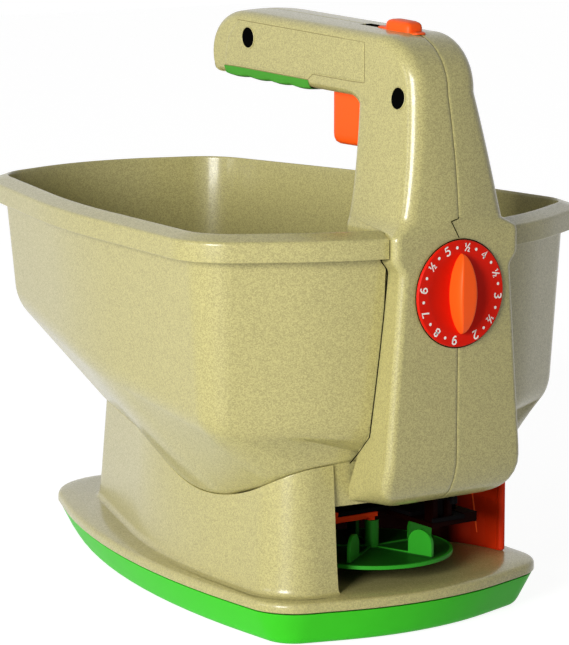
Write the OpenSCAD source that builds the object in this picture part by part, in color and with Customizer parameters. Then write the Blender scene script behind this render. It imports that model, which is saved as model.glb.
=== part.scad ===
// Battery hand spreader: open hopper on a pedestal, post and handle, trigger, rate dial and spinning disc.
// Millimetres. +Z is up, the dial faces -Y, and X = 0 is the plane of the housing seam.
// The origin lies on the underside of the tray, below the middle of the platform.

/* [Tray and platform] */
// Height of the tray up to the seam under the platform
tray_h = 20.2; // [16:0.1:28]
// How far the tray sides draw in from the seam to the underside
tray_draw = 10; // [6:0.5:14]
// Wall and floor thickness of the tray
tray_wall = 2.6; // [2:0.1:4]
// Gap of the seam between tray and platform
seam_gap = 0.3; // [0.1:0.05:0.6]
// Half width of the platform
platform_half_w = 98; // [91:1:106]
// Front of the platform, measured forward from the origin
platform_front = 168; // [160:1:176]
// Back of the platform, measured back from the origin
platform_back = 192; // [184:1:198]
// Radius of the long sides of the platform
platform_side_r = 560; // [500:10:760]
// Radius of the back corners of the platform
platform_corner_r = 30; // [24:1:34]
// Middle of the back corners, measured forward from the back
platform_corner_in = 42; // [38:1:48]
// Height of the platform edge above the seam
platform_edge = 6.8; // [5:0.1:10]
// Thickness of the platform plate
platform_t = 3; // [2.4:0.1:4]

/* [Pedestal] */
// Half width of the pedestal at its foot
pedestal_half_w = 88; // [82:1:90]
// Front of the pedestal foot, measured forward from the origin
pedestal_front = 152; // [148:1:154]
// Wall thickness of the pedestal
pedestal_wall = 2.6; // [2:0.1:4]
// How far the pedestal walls lean in per millimetre of height
pedestal_lean = 0.1; // [0.05:0.01:0.14]
// Left edge of the discharge opening, measured left from the seam plane
opening_left = 52; // [46:1:56]

/* [Hopper] */
// Height of the hopper ridge above the ground
rim_z = 230; // [224:1:240]
// Half width of the hopper ridge
rim_half_w = 122.5; // [114:0.5:130]
// Front of the hopper ridge, measured forward from the origin
rim_front = 169.6; // [165:0.2:174]
// Back of the hopper ridge, measured back from the origin
rim_back = 189; // [180:1:200]
// Wall thickness of the hopper
hopper_wall = 2.5; // [2:0.1:3.5]
// Width of the turned-out lip
lip_w = 11.2; // [8:0.2:14]
// Drop from the ridge to the edge of the lip
lip_drop = 3.6; // [2:0.1:6]
// Height of the vertical face of the lip
lip_h = 11; // [8:0.5:14]
// Height of the wall break at the front corners
break_front = 122; // [118:1:128]
// Rise of the wall break toward the back, per millimetre
break_rise = 0.115; // [0.08:0.005:0.14]
// Height of the hopper floor at the middle of the pedestal seam
floor_mid = 72; // [70:1:78]

/* [Post and handle] */
// Height of the top of the handle
handle_top = 340; // [334:1:350]
// Half width of the handle
handle_half_w = 22.5; // [21:0.5:26]
// Rear end of the handle, measured back from the origin
handle_back = 30; // [24:1:40]
// Depth of the handle from top to bottom
handle_depth = 38; // [36:0.5:44]
// Wall thickness of the housing halves
housing_wall = 2.5; // [2:0.1:3]
// Front face of the post, measured forward from the origin
post_front = 185; // [182:0.5:188]
// Half width of the post where it stands on the hopper
post_half_w = 36; // [34.5:0.5:38]
// Depth of the post where it stands on the hopper
post_depth = 58; // [56:0.5:60]
// Half width of the collar where the post crosses the lip
collar_half_w = 44.6; // [43:0.2:47]
// Diameter of the screw recesses
recess_d = 11; // [9.5:0.5:12]

/* [Dial] */
// Diameter of the dial
dial_d = 59; // [54:1:62]
// Height of the dial axis
dial_z = 194.6; // [188:0.2:198]
// Thickness of the dial ring
dial_t = 3.4; // [2.6:0.1:5]
// How far the finger bar stands out of the dial ring
dial_bar = 8.5; // [6:0.5:12]
// Diameter of the dial shaft
dial_shaft_d = 8; // [6:0.5:10]

/* [Trigger and lock] */
// Width of the trigger
trigger_w = 20; // [16:0.5:24]
// Length of the trigger below the handle
trigger_drop = 31; // [26:0.5:36]
// Diameter of the trigger pin
trigger_pin_d = 4; // [3:0.5:5]
// Reach of the trigger arm from its pin to the pull rod
trigger_arm = 28; // [26:0.5:30]
// Width of the lock slider
slider_w = 13; // [10:0.5:16]
// Travel of the lock slider
slider_travel = 10; // [6:0.5:11]

/* [Spinner and drive] */
// Distance of the spinner axis in front of the origin
spinner_y = 107; // [105:0.5:110]
// Diameter of the spinner disc
disc_d = 92; // [84:1:96]
// Thickness of the spinner disc
disc_t = 2; // [1.6:0.1:3]
// Gap between the platform and the disc
disc_gap = 9; // [7:0.5:10]
// Height of the disc vanes
vane_h = 15; // [12:0.5:16]
// Diameter of the spinner hub
hub_d = 8; // [7:0.2:10]
// Diameter of the spinner shaft
shaft_d = 3; // [2:0.5:4]
// Tooth module of the gear pair
gear_module = 1.5; // [1.4:0.02:1.54]
// Teeth of the motor pinion
pinion_teeth = 10; // [9:1:10]
// Teeth of the drive gear
gear_teeth = 36; // [34:1:36]
// Face width of the gears
gear_w = 6; // [4:0.5:8]
// Diameter of the motor
motor_d = 23.6; // [20:0.2:24]
// Length of the motor can
motor_l = 31; // [26:0.5:36]

/* [Gate and deck] */
// Height of the discharge chamber from platform to deck
chamber_h = 30.5; // [30:0.5:34]
// Thickness of the deck plate
deck_t = 2.5; // [2:0.1:3.5]
// Thickness of the gate plate
gate_t = 2.2; // [1.6:0.1:3]
// Travel of the gate
gate_travel = 8; // [6:0.5:9]

/* [Clearances] */
// Radial clearance of running fits
fit_gap = 0.05; // [0.03:0.01:0.09]
// Gap between pieces that move past each other
run_gap = 0.5; // [0.3:0.05:0.8]
// Gap between fixed pieces that seat on each other
seat_gap = 0.2; // [0.1:0.05:0.4]

/* [Hidden] */
$fn = 48;

khaki = [0.69, 0.65, 0.46];
leaf_green = [0.25, 0.72, 0.2];
signal_orange = [0.95, 0.36, 0.12];
dial_red = [0.88, 0.2, 0.08];
dark_grey = [0.2, 0.2, 0.22];
steel = [0.72, 0.72, 0.74];
brass = [0.8, 0.66, 0.35];

eps = 0.01;
arc_points = 7;

// Heights, from the ground up
seam_z = tray_h + seam_gap;
platform_z = seam_z + platform_edge;
disc_z = platform_z + disc_gap;
deck_z = platform_z + chamber_h;
gate_z = deck_z + deck_t + run_gap;
neck_z = gate_z + gate_t + run_gap;
gear_z = neck_z + 17;
bracket_t = 2.5;
bracket_z = gear_z + gear_w + 4;
lip_top = rim_z - lip_drop;
lip_bottom = lip_top - lip_h;
post_foot = rim_z - 1;
handle_low = handle_top - handle_depth;

// Places along Y, front is negative
front_y = -post_front;
post_back = front_y + post_depth;
axis_y = -spinner_y;
gear_gap = gear_module * (gear_teeth + pinion_teeth) / 2;
motor_y = axis_y - gear_gap;
gear_r = gear_module * (gear_teeth / 2 + 0.9);
shaft_r = shaft_d / 2;
hood_y = axis_y + gear_r + 2;
tower_in_w = post_half_w - hopper_wall;
tower_in_back = post_back - housing_wall;
outlet_front = hood_y + 2 * hopper_wall + 1.5;
outlet_l = 9;
outlet_w = 36;

// A chain of eight arcs, mirrored about X = 0: front, corner, side, back corner and back
function chain(front, front_r, corner, side, back_corner, back, back_r) = [
  [0, front + front_r, front_r], corner, [side[0] - side[2], side[1], side[2]], back_corner,
  [0, back - back_r, back_r],
  [-back_corner[0], back_corner[1], back_corner[2]], [side[2] - side[0], side[1], side[2]],
  [-corner[0], corner[1], corner[2]]
];
// Direction of the outward normal on the line that touches arcs a and b
function touch(a, b) = atan2(b[1] - a[1], b[0] - a[0])
  - acos(min(1, max(-1, (a[2] - b[2]) / norm([b[0] - a[0], b[1] - a[1]]))));
// Outline of a chain, grown by g: points of each arc, joined by straight tangents
function outline(c, g = 0) = [
  for (i = [0 : len(c) - 1])
    let (t0 = touch(c[(i + len(c) - 1) % len(c)], c[i]))
    let (sweep = (touch(c[i], c[(i + 1) % len(c)]) - t0 + 720) % 360)
    for (k = [0 : arc_points - 1])
      let (t = t0 + sweep * k / (arc_points - 1))
      [c[i][0] + (c[i][2] + g) * cos(t), c[i][1] + (c[i][2] + g) * sin(t)]
];
function lift(points, z) = [for (p = points) [p[0], p[1], z]];
function flat(rings) = [for (r = rings) each r];

// A skin through rings of equal point count; loop joins the last ring to the first.
// From the ring numbered inner on, the facets are split the other way, so that inside and outside match
module skin(rings, loop = false, inner = 1000) {
  n = len(rings[0]);
  m = len(rings);
  last = loop ? m - 1 : m - 2;
  sides = [
    for (i = [0 : last]) for (j = [0 : n - 1])
      let (a = i * n, b = ((i + 1) % m) * n, k = (j + 1) % n)
      each i < inner
        ? [[a + j, b + j, b + k], [a + j, b + k, a + k]]
        : [[a + j, b + j, a + k], [b + j, b + k, a + k]]
  ];
  caps = loop ? [] : [[for (j = [0 : n - 1]) j], [for (j = [n - 1 : -1 : 0]) (m - 1) * n + j]];
  polyhedron(points = flat(rings), faces = concat(sides, caps), convexity = 8);
}

// A free-form shell, faceted as a whole
module shell() {
  resize([0, 0, 0]) children();
}

platform_corner_x = platform_half_w - platform_side_r + 0.5
  + sqrt(pow(platform_side_r - platform_corner_r, 2) - pow(platform_back - platform_corner_in + 74, 2));
platform_back_r = (pow(platform_corner_x, 2) + pow(platform_corner_in, 2) - pow(platform_corner_r, 2))
  / (2 * (platform_corner_in - platform_corner_r)) - 0.4;
platform_chain = chain(
  -platform_front, 178, [platform_half_w - 32, -platform_front + 43.4, 30],
  [platform_half_w, -74, platform_side_r],
  [platform_corner_x, platform_back - platform_corner_in, platform_corner_r], platform_back, platform_back_r
);
pedestal_chain = chain(
  -pedestal_front, 200, [pedestal_half_w - 28, -pedestal_front + 34, 28],
  [pedestal_half_w, -85, 380], [8, 122, 28], 152, 40
);
rim_chain = chain(
  -rim_front, 172, [rim_half_w - 24.9, -rim_front + 60, 26.2],
  [rim_half_w - 3.5, -58, 533], [50, rim_back - 45.6, 34.4], rim_back, 136
);
// Rounded rectangle of the outlet, grown by g, with as many points as a chain
outlet_r = 2.5;
function arc_part(k) = k / (arc_points - 1);
function outlet_half(g) = let (x = outlet_w / 2 - outlet_r, y = outlet_l / 2 - outlet_r) [
  for (k = [0 : arc_points - 1]) [1.7 * x * (arc_part(k) - 0.5), -y - outlet_r - g],
  for (k = [0 : arc_points - 1]) let (a = 90 * arc_part(k) - 90)
    [x + (outlet_r + g) * cos(a), -y + (outlet_r + g) * sin(a)],
  for (k = [0 : arc_points - 1]) [x + outlet_r + g, 1.7 * y * (arc_part(k) - 0.5)],
  for (k = [0 : arc_points - 1]) let (a = 90 * arc_part(k))
    [x + (outlet_r + g) * cos(a), y + (outlet_r + g) * sin(a)]
];
function outlet_points(g) = [
  for (s = [1, -1]) for (p = outlet_half(g)) [s * p[0], outlet_front + outlet_l / 2 + s * p[1]]
];

// Hopper skin levels
function smooth(t) = let (u = min(max(t, 0), 1)) u * u * (3 - 2 * u);
function break_z(y) = break_front + break_rise * (y + 110);
function fold_z(y) = y > -55
  ? floor_mid + 16 * smooth((y + 55) / 100)
  : floor_mid + 0.0035 * pow(y + 55, 2);
wall_top_g = hopper_wall;
break_g = -4;
fold_g = -50 * pedestal_lean;
function break_ring(g, dz) = [for (p = outline(rim_chain, break_g + g)) [p[0], p[1], break_z(p[1]) + dz]];
function fold_ring(g, dz) = [for (p = outline(pedestal_chain, fold_g + g)) [p[0], p[1], fold_z(p[1]) + dz]];
function outlet_ring(g, z) = lift(outlet_points(g), z);
function rim_ring(g, z) = lift(outline(rim_chain, g), z);
floor_t = hopper_wall * 1.3;

module hopper_outer(g = 0) {
  skin([
    outlet_ring(hopper_wall + g, neck_z), fold_ring(g, -g), break_ring(g, -g),
    rim_ring(wall_top_g + g, lip_top - hopper_wall), rim_ring(wall_top_g + g, rim_z)
  ]);
}
module hopper_shell() {
  skin(loop = true, inner = 9, rings = [
    outlet_ring(hopper_wall, neck_z), fold_ring(0, 0), break_ring(0, 0),
    rim_ring(wall_top_g, lip_top - hopper_wall), rim_ring(lip_w - hopper_wall, lip_top - hopper_wall),
    rim_ring(lip_w - hopper_wall, lip_bottom), rim_ring(lip_w, lip_bottom),
    rim_ring(lip_w, lip_top), rim_ring(0.8, rim_z), rim_ring(0, rim_z - 0.8),
    break_ring(-hopper_wall, 0.6), fold_ring(-hopper_wall, floor_t), outlet_ring(0, neck_z + floor_t)
  ]);
}
// Side view of the recess for the post, grown by g and closed at height top
function tower_side(g, top) = [
  [front_y - 30, neck_z - 20], [hood_y + g, neck_z - 20], [hood_y + g, bracket_z + 8 + g],
  [tower_in_back + g, bracket_z + 45 + g], [tower_in_back + g, top], [front_y - 30, top]
];
module side_prism(points, half_w) {
  translate([half_w, 0, 0]) rotate([0, -90, 0])
    linear_extrude(height = 2 * half_w) polygon([for (p = points) [p[1], p[0]]]);
}
boss_x = tower_in_w - 3;
boss_ys = [motor_y - 1, hood_y - 8];
boss_r = 4.2;
screw_r = 1.5;
// Places of the bosses; the deck leaves out the one at the front left
module at_bosses(deck = false) {
  for (sx = [-1, 1]) for (y = boss_ys)
    if (!deck || sx > 0 || y > axis_y) translate([sx * boss_x, y, 0]) children();
}
tower_floor = 14;
module hopper() color(khaki) shell() difference() {
  union() {
    difference() {
      union() {
        hopper_shell();
        intersection() {
          union() {
            hopper_outer(-hopper_wall / 3);
            translate([-2 * post_half_w, motor_y - 8, neck_z + tower_floor])
              cube([4 * post_half_w, hood_y - motor_y + 30, 30]);
          }
          side_prism(tower_side(hopper_wall, post_foot - seat_gap), post_half_w);
        }
      }
      side_prism(tower_side(0, rim_z + 20), tower_in_w);
      translate([-collar_half_w - seat_gap, front_y - 30, lip_bottom - 6])
        cube([2 * (collar_half_w + seat_gap), 30 + post_front - rim_front + 2, rim_z]);
    }
    at_bosses() translate([0, 0, gear_z]) cylinder(r = boss_r, h = bracket_z - gear_z);
    at_bosses(deck = true) translate([0, 0, neck_z]) cylinder(r = boss_r, h = gear_z + 1 - neck_z);
  }
  at_bosses() translate([0, 0, neck_z - 1]) cylinder(r = screw_r, h = bracket_z - neck_z + 2);
}

// Tray: tapered shell with screw wells
screw_places = [[-66, -112], [66, -112], [-44, 76], [44, 76]];
well_r = 5.5;
well_h = 9;
head_r = 3;
head_h = 2;
function plate_ring(g, z) = lift(outline(platform_chain, g), z);
module base_tray() color(leaf_green) difference() {
  union() {
    difference() {
      skin([plate_ring(-tray_draw - 3, 0), plate_ring(-tray_draw, 2), plate_ring(0, tray_h)]);
      skin([plate_ring(-tray_draw - tray_wall, tray_wall), plate_ring(-tray_wall, tray_h + eps)]);
    }
    for (p = screw_places) translate([p[0], p[1], eps]) cylinder(r = well_r, h = well_h);
  }
  for (p = screw_places) translate([p[0], p[1], 0]) {
    translate([0, 0, -1]) cylinder(r = head_r + 0.6, h = well_h - 2);
    translate([0, 0, -1]) cylinder(r = screw_r + 0.3, h = well_h + 4);
  }
}
module base_screws() color(steel) for (p = screw_places) translate([p[0], p[1], well_h - 3 - head_h]) {
  cylinder(r = head_r, h = head_h);
  cylinder(r = screw_r - fit_gap, h = head_h + 12);
}

// Pedestal: platform plate, leaning walls and the discharge opening
function foot_ring(g, z) = lift(outline(pedestal_chain, g - pedestal_lean * (z - platform_z)), z);
opening_y = axis_y - 2;
module opening_wedge() {
  translate([0, 0, platform_z]) linear_extrude(height = rim_z - platform_z)
    polygon([
      [-opening_left, axis_y], [-opening_left, -220], [160, -220], [160, opening_y], [60, opening_y]
    ]);
}
module pedestal() color(khaki) shell() difference() {
  union() {
    skin([
      plate_ring(-platform_t, platform_z - platform_t), plate_ring(-platform_t, seam_z),
      plate_ring(0, seam_z), plate_ring(0, platform_z - 2.2),
      plate_ring(-2.4, platform_z - 0.4), plate_ring(-9, platform_z)
    ]);
    difference() {
      skin(loop = true, inner = 2, rings = [
        foot_ring(0, platform_z - 1), fold_ring(-seat_gap, -seat_gap),
        fold_ring(-pedestal_wall, -pedestal_wall / 2), foot_ring(-pedestal_wall, platform_z - 1)
      ]);
      hopper_outer(seat_gap);
      opening_wedge();
    }
    for (p = screw_places) translate([p[0], p[1], well_h + seat_gap])
      cylinder(r = well_r - 1, h = platform_z - platform_t / 2 - well_h - seat_gap);
  }
  for (p = screw_places) translate([p[0], p[1], 0]) cylinder(r = screw_r, h = platform_z - platform_t / 2);
}

// Housing half: one section carried up the front cover, up the post, round the bend and along the handle.
// Each station: outer point [y, z], inner point [y, z], half width, outer and inner corner radius
bend_y = post_back;
post_h = handle_low - post_foot;
function post_w(t) = post_half_w + (handle_half_w - post_half_w) * pow(t, 0.75);
function post_y(t) = front_y + 18 * pow(t, 1.3);
post_stations = [for (t = [0.06, 0.2, 0.4, 0.6, 0.8, 1]) let (z = post_foot + post_h * t)
  [[post_y(t), z], [post_back, z - 4 * t * t], post_w(t), 9, 7]];
bend_stations = [for (t = [0.16 : 0.14 : 1]) let (a = 90 * t)
  [[front_y + 18 + 27 * (1 - cos(a)), handle_low + (handle_depth - 7.5) * sin(a)],
   [bend_y + 4 * t + 8 * t * t, handle_low - 4 * (1 - t)], handle_half_w, 9, 7 - 2 * t]];
handle_start = front_y + 45;
function handle_z(t) = handle_top - 7.5 * pow(1 - t, 2);
handle_run = handle_back - 10 - handle_start;
handle_stations = [for (t = [0.2 : 0.2 : 1])
  [[handle_start + handle_run * t, handle_z(t)],
   [bend_y + 12 + (handle_back - 13 - bend_y - 12) * t, handle_low], handle_half_w, 8, 5]];
end_stations = [for (t = [0.12, 0.4, 0.7, 1]) let (c = cos(80 * t))
  [[handle_back - 10 + 10 * sin(90 * t), handle_top - 14 * (1 - c)],
   [handle_back - 13 + 13 * sin(90 * t), handle_low + 12 * (1 - c)],
   handle_half_w - 13 * (1 - c), 8 - 3 * t, 5 - t]];
corner_points = 5;
path_points = 2 * corner_points + 2;
function depth(st) = norm(st[1] - st[0]);
// Half outline of a section, shrunk by s, from the outer seam round the corners to the inner seam
function half_outline(st, s) = let (d = depth(st), w = st[2]) [
  [s, 0],
  for (k = [0 : corner_points - 1]) let (a = 90 * k / (corner_points - 1), r = st[3] - s)
    [s + r - r * cos(a), w - s - r + r * sin(a)],
  for (k = [0 : corner_points - 1]) let (a = 90 * k / (corner_points - 1), r = st[4] - s)
    [d - s - r + r * sin(a), w - s - r + r * cos(a)],
  [d - s, 0]
];
// Points on the seam between the walls, where the section is solid
function seam_line(st, s) = [
  for (i = [0 : path_points - 1]) [s + (depth(st) - 2 * s) * i / (path_points - 1), 0]
];
function backward(points) = [for (i = [len(points) - 1 : -1 : 0]) points[i]];
function facing(points, side) = side > 0 ? points : backward(points);
function place_section(st, points, side) = let (u = (st[1] - st[0]) / depth(st))
  [for (p = points) [side * p[1], st[0][0] + u[0] * p[0], st[0][1] + u[1] * p[0]]];
function tube_section(st, side) = facing(place_section(st, concat(
  half_outline(st, 0), backward(half_outline(st, housing_wall))), side), side);
function end_section(st, side) = facing(place_section(st, concat(
  half_outline(st, 0), backward(seam_line(st, housing_wall))), side), side);

// Front cover below the lip: front, rounded corner and side, open at the back
cover_foot = deck_z + 19;
function cover_y(z) = front_y + 12 * pow(max(0, (cover_foot + 28 - z) / 28), 2);
function collar_bump(z) = let (m = (lip_top + lip_bottom) / 2, h = lip_h / 2)
  smooth((h + 9 - abs(z - m)) / 9);
function cover_w(z) = let (t = (lip_bottom - z) / (lip_bottom - cover_foot))
  post_half_w + 1 + 11 * max(0, t) + (collar_half_w - post_half_w - 1) * collar_bump(z);
function cover_back(z) = z > lip_bottom - 7
  ? front_y + 16 - 5 * collar_bump(z)
  : front_y + 19 + 27 * pow((lip_bottom - 7 - z) / (lip_bottom - 7 - cover_foot), 2);
cover_zs = [
  cover_foot + housing_wall, cover_foot + 6, cover_foot + 11, cover_foot + 18, cover_foot + 30,
  cover_foot + 50, cover_foot + 80, lip_bottom - 9, lip_bottom - 6, lip_bottom - 3, lip_bottom,
  lip_top, rim_z + 0.4
];
cover_r = 8.5;
function cover_path(z, s) = let (w = cover_w(z) - s, f = cover_y(z) + s, r = cover_r - s, b = cover_back(z)) [
  [0, f],
  for (k = [0 : corner_points - 1]) let (a = 90 * k / (corner_points - 1))
    [w - r + r * sin(a), f + r - r * cos(a)],
  for (k = [1 : corner_points + 1]) [w, f + r + (b - f - r) * k / (corner_points + 1)]
];
function raised(points, z, side) = [for (p = points) [side * p[0], p[1], z]];
function cover_section(z, side) = facing(raised(concat(
  cover_path(z, 0), backward(cover_path(z, housing_wall))), z, side), side);
// Floor of the cover: the inner path lies on the seam
function cover_seam(z) = let (f = cover_y(z) + 1, b = cover_back(z))
  [for (i = [path_points - 1 : -1 : 0]) [0, f + (b - f) * i / (path_points - 1)]];
function cover_floor(z, side) = facing(raised(concat(cover_path(z, 0), cover_seam(z)), z, side), side);
module housing_skin(side) {
  skin(concat(
    [cover_floor(cover_foot, side), cover_floor(cover_foot + housing_wall - 0.3, side)],
    [for (z = cover_zs) cover_section(z, side)],
    [for (st = concat(post_stations, bend_stations, handle_stations)) tube_section(st, side)],
    [for (st = end_stations) end_section(st, side)]
  ));
}

// Trigger, lock slider, battery door and grip places
pin_y = post_back + 14;
pin_z = handle_low + 9;
trigger_pin_r = trigger_pin_d / 2;
trigger_back = post_back + 47;
trigger_low = handle_low - trigger_drop;
slot_front = front_y + 41;
foot_l = 16;
slot_back = slot_front + foot_l + slider_travel + 19;
slot_half = slider_w / 2 - 3;
door_y0 = post_back + 1.5;
door_y1 = handle_back - 17;
door_z0 = handle_low + 5.5;
door_z1 = handle_top - 10;
door_t = 1.4;
recess_r = recess_d / 2;
cup_r = recess_r + 1.2;
cup_depth = 6;
cup_y = door_y1 - 26;
cup_z = handle_low + 20;
cup_boss_r = cup_r + seat_gap + 1.6;
grip_y0 = post_back + 55;
grip_y1 = handle_back - 16;
grip_t = 4;
post_screw = [front_y + 28, handle_low - 3];
wall_x = 6;
cell_r = 6.9;
cell_l = 49;
cell_nub = 1.5;
contact_t = 0.8;
pack_back = cup_y - cup_boss_r - run_gap;
cell_y = pack_back - contact_t - cell_nub - cell_l - 0.2;
cell_x = cell_r + 0.2;
cell_z = handle_low + grip_t + run_gap + cell_r;
cell_zs = [cell_z, cell_z + 2 * cell_r + 0.2];
module along_x(y, z, x0, x1, r) {
  translate([x0, y, z]) rotate([0, 90, 0]) cylinder(r = r, h = x1 - x0);
}
trigger_half = trigger_w / 2;
module housing_cuts() {
  // trigger mouth in the post back and the handle bottom
  translate([-trigger_w / 2 - run_gap, post_back - 12, trigger_low - 4])
    cube([trigger_w + 2 * run_gap, trigger_back + run_gap - post_back + 12, handle_low + 9 - trigger_low]);
  // slot of the lock slider
  translate([-slot_half - run_gap, slot_front, handle_top - 14])
    cube([2 * (slot_half + run_gap), slot_back - slot_front, 30]);
  // seat of the grip insert
  translate([-handle_half_w - 5, grip_y0 - seat_gap, handle_low - 5])
    cube([2 * handle_half_w + 10, grip_y1 - grip_y0 + 2 * seat_gap, grip_t + 5 + seat_gap]);
  // way of the bell crank and the pull rod through the floor of the cover
  translate([crank_x - 9, rod_y - 5, cover_foot - 1]) cube([18, 40, housing_wall + 4]);
  // hole of the dial shaft
  translate([0, front_y - 20, dial_z]) rotate([-90, 0, 0])
    cylinder(r = dial_shaft_d / 2 + fit_gap, h = 40);
}
module housing_half(side) {
  x = handle_half_w - 1;
  difference() {
    union() {
      difference() {
        housing_skin(side);
        hopper_outer(seat_gap);
        translate([-post_half_w - seat_gap, motor_y - 8 - seat_gap, neck_z])
          cube([2 * (post_half_w + seat_gap), 40, bracket_z - neck_z + 20]);
      }
      along_x(post_screw[0], post_screw[1], min(0, side * x), max(0, side * x), recess_r + 1.5);
      // seats of the trigger pin
      for (inner = [side * (trigger_half + run_gap)])
        along_x(pin_y, pin_z, min(inner, side * x), max(inner, side * x), trigger_pin_r + 2.5);
    }
    housing_cuts();
    along_x(pin_y, pin_z, -handle_half_w + 2, handle_half_w - 2, trigger_pin_r + fit_gap);
  }
}
module left_housing() color(khaki) shell() difference() {
  union() {
    housing_half(-1);
    along_x(cup_y, cup_z, -handle_half_w + 1, -wall_x, cup_boss_r);
  }
  along_x(post_screw[0], post_screw[1], -60, -wall_x, recess_r);
  along_x(post_screw[0], post_screw[1], -60, 1, screw_r + 0.3);
  translate([-handle_half_w - 1, door_y0 - seat_gap, door_z0 - seat_gap])
    cube([1 + door_t + seat_gap, door_y1 - door_y0 + 2 * seat_gap, door_z1 - door_z0 + 2 * seat_gap]);
  translate([-handle_half_w - 1, cell_y - 1, door_z0 + 1.2])
    cube([8, pack_back - cell_y, door_z1 - door_z0 - 2.4]);
  along_x(cup_y, cup_z, -40, -handle_half_w + cup_depth + 1.5 + seat_gap, cup_r + seat_gap);
  along_x(cup_y, cup_z, -40, -wall_x - 2, screw_r);
}
module right_housing() color(khaki) shell() difference() {
  housing_half(1);
  along_x(post_screw[0], post_screw[1], -1, 14, screw_r);
}
module housing_screws() color(dark_grey) {
  along_x(post_screw[0], post_screw[1], -wall_x - head_h, -wall_x, head_r);
  along_x(post_screw[0], post_screw[1], -wall_x - 1, 10, screw_r - fit_gap);
}
module battery_door() color(khaki) difference() {
  union() {
    translate([-handle_half_w, door_y0, door_z0]) cube([door_t, door_y1 - door_y0, door_z1 - door_z0]);
    along_x(cup_y, cup_z, -handle_half_w + eps, -handle_half_w + cup_depth + 1.5, cup_r);
  }
  along_x(cup_y, cup_z, -40, -handle_half_w + cup_depth, recess_r);
  along_x(cup_y, cup_z, -40, 0, screw_r + 0.3);
}
module door_screw() color(dark_grey) {
  along_x(cup_y, cup_z, -handle_half_w + cup_depth - head_h, -handle_half_w + cup_depth, head_r);
  along_x(cup_y, cup_z, -handle_half_w + cup_depth - 1, -wall_x - 2.5, screw_r - fit_gap);
}
scallops = 4;
module grip_insert() color(leaf_green) {
  pitch = (grip_y1 - grip_y0) / scallops;
  difference() {
    translate([-handle_half_w, grip_y0, handle_low]) cube([2 * handle_half_w, grip_y1 - grip_y0, grip_t]);
    for (sx = [-1, 1]) translate([sx * (handle_half_w + 1), grip_y0 - 1, handle_low - 1]) rotate([-90, 0, 0])
      cylinder(r = 3, h = grip_y1 - grip_y0 + 2, $fn = 4);
  }
  for (k = [0 : scallops - 1])
    intersection() {
      along_x(grip_y0 + pitch * (k + 0.5), handle_low + 11, -handle_half_w + 4, handle_half_w - 4, 13);
      translate([-handle_half_w, grip_y0, handle_low - 3]) cube([2 * handle_half_w, grip_y1 - grip_y0, 4]);
    }
}

// Discharge chamber: deck, scroll-shaped deflector and gate
deck_half = tower_in_w + 4;
deck_front = motor_y - 14;
deck_back = outlet_front + outlet_l + 6;
bush_r = shaft_r + 1.6;
deck_boss_r = bush_r + 1.4;
boss_low = disc_z + disc_t + vane_h + 1.6;
rail_w = 9;
gate_half = deck_half - rail_w - run_gap;
// The front left of deck and gate stays open below the cover
deck_step = axis_y - deck_boss_r - 2.5;
module front_left_cut(z) {
  translate([-deck_half - 1, deck_front - 20, z - 1])
    cube([deck_half + 1 + crank_x - 8, deck_step - deck_front + 20, 20]);
}
module chamber_deck() color(signal_orange) difference() {
  union() {
    translate([-deck_half, deck_front, deck_z]) cube([2 * deck_half, deck_back - deck_front, deck_t]);
    for (sx = [-1, 1]) translate([sx * (deck_half - rail_w / 2) - rail_w / 2, deck_front, deck_z])
      cube([rail_w, deck_back - deck_front, neck_z - seat_gap - deck_z]);
    translate([0, axis_y, boss_low]) cylinder(r = deck_boss_r, h = deck_z - boss_low + eps);
    // stiffening rib on the left of the boss
    translate([-deck_half + 4, axis_y - 3, boss_low + 1]) cube([deck_half - 10, 6, deck_z - boss_low]);
    // lugs of the bell crank
    for (sx = [-1, 1]) translate([crank_x + sx * 5 - 1.5, crank_y - 4, deck_z])
      cube([3, 8, crank_z + 4 - deck_z]);
  }
  translate([0, axis_y, boss_low - 1]) cylinder(r = bush_r, h = neck_z - boss_low);
  translate([-outlet_w / 2, outlet_front, deck_z - 1]) cube([outlet_w, outlet_l, 10]);
  at_bosses(deck = true) translate([0, 0, deck_z - 1]) cylinder(r = screw_r + 0.3, h = 20);
  front_left_cut(deck_z);
  along_x(crank_y, crank_z, crank_x - 8, crank_x + 8, crank_pin_r + fit_gap);
}
module deck_screws() color(steel) at_bosses(deck = true) translate([0, 0, deck_z - head_h]) {
  cylinder(r = head_r, h = head_h);
  cylinder(r = screw_r - fit_gap, h = head_h + 14);
}
// Scroll: its radius grows from the back left round to the front right
scroll_t = 2.6;
// Clearance of the wall's start from the disc, and of its mouth from the pedestal's side
disc_clear = 6;
mouth_in = 5.5;
scroll_r0 = disc_d / 2 + disc_clear;
scroll_r1 = pedestal_half_w - mouth_in;
scroll_a0 = 165;
scroll_a1 = -9;
scroll_h = chamber_h - run_gap;
tall_h = 42;
tall_from = 0.86;
function scroll_point(t, g) = let (a = scroll_a0 + (scroll_a1 - scroll_a0) * t)
  let (r = scroll_r0 + (scroll_r1 - scroll_r0) * t * t + g) [r * cos(a), axis_y + r * sin(a)];
module scroll(t0, h) {
  ts = [for (k = [0 : 24]) t0 + (1 - t0) * k / 24];
  translate([0, 0, platform_z + seat_gap]) linear_extrude(height = h)
    polygon(concat([for (t = ts) scroll_point(t, 0)], [for (t = ts) scroll_point(1 + t0 - t, scroll_t)]));
}
module deflector() color(dial_red) intersection() {
  union() {
    scroll(0, scroll_h);
    scroll(tall_from, tall_h);
  }
  union() {
    skin([for (z = [platform_z - 2, rim_z]) foot_ring(-pedestal_wall - seat_gap, z)]);
    translate([0, -pedestal_front, platform_z])
      cube([pedestal_half_w, pedestal_front + opening_y - seat_gap, tall_h + 1]);
  }
}

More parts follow.
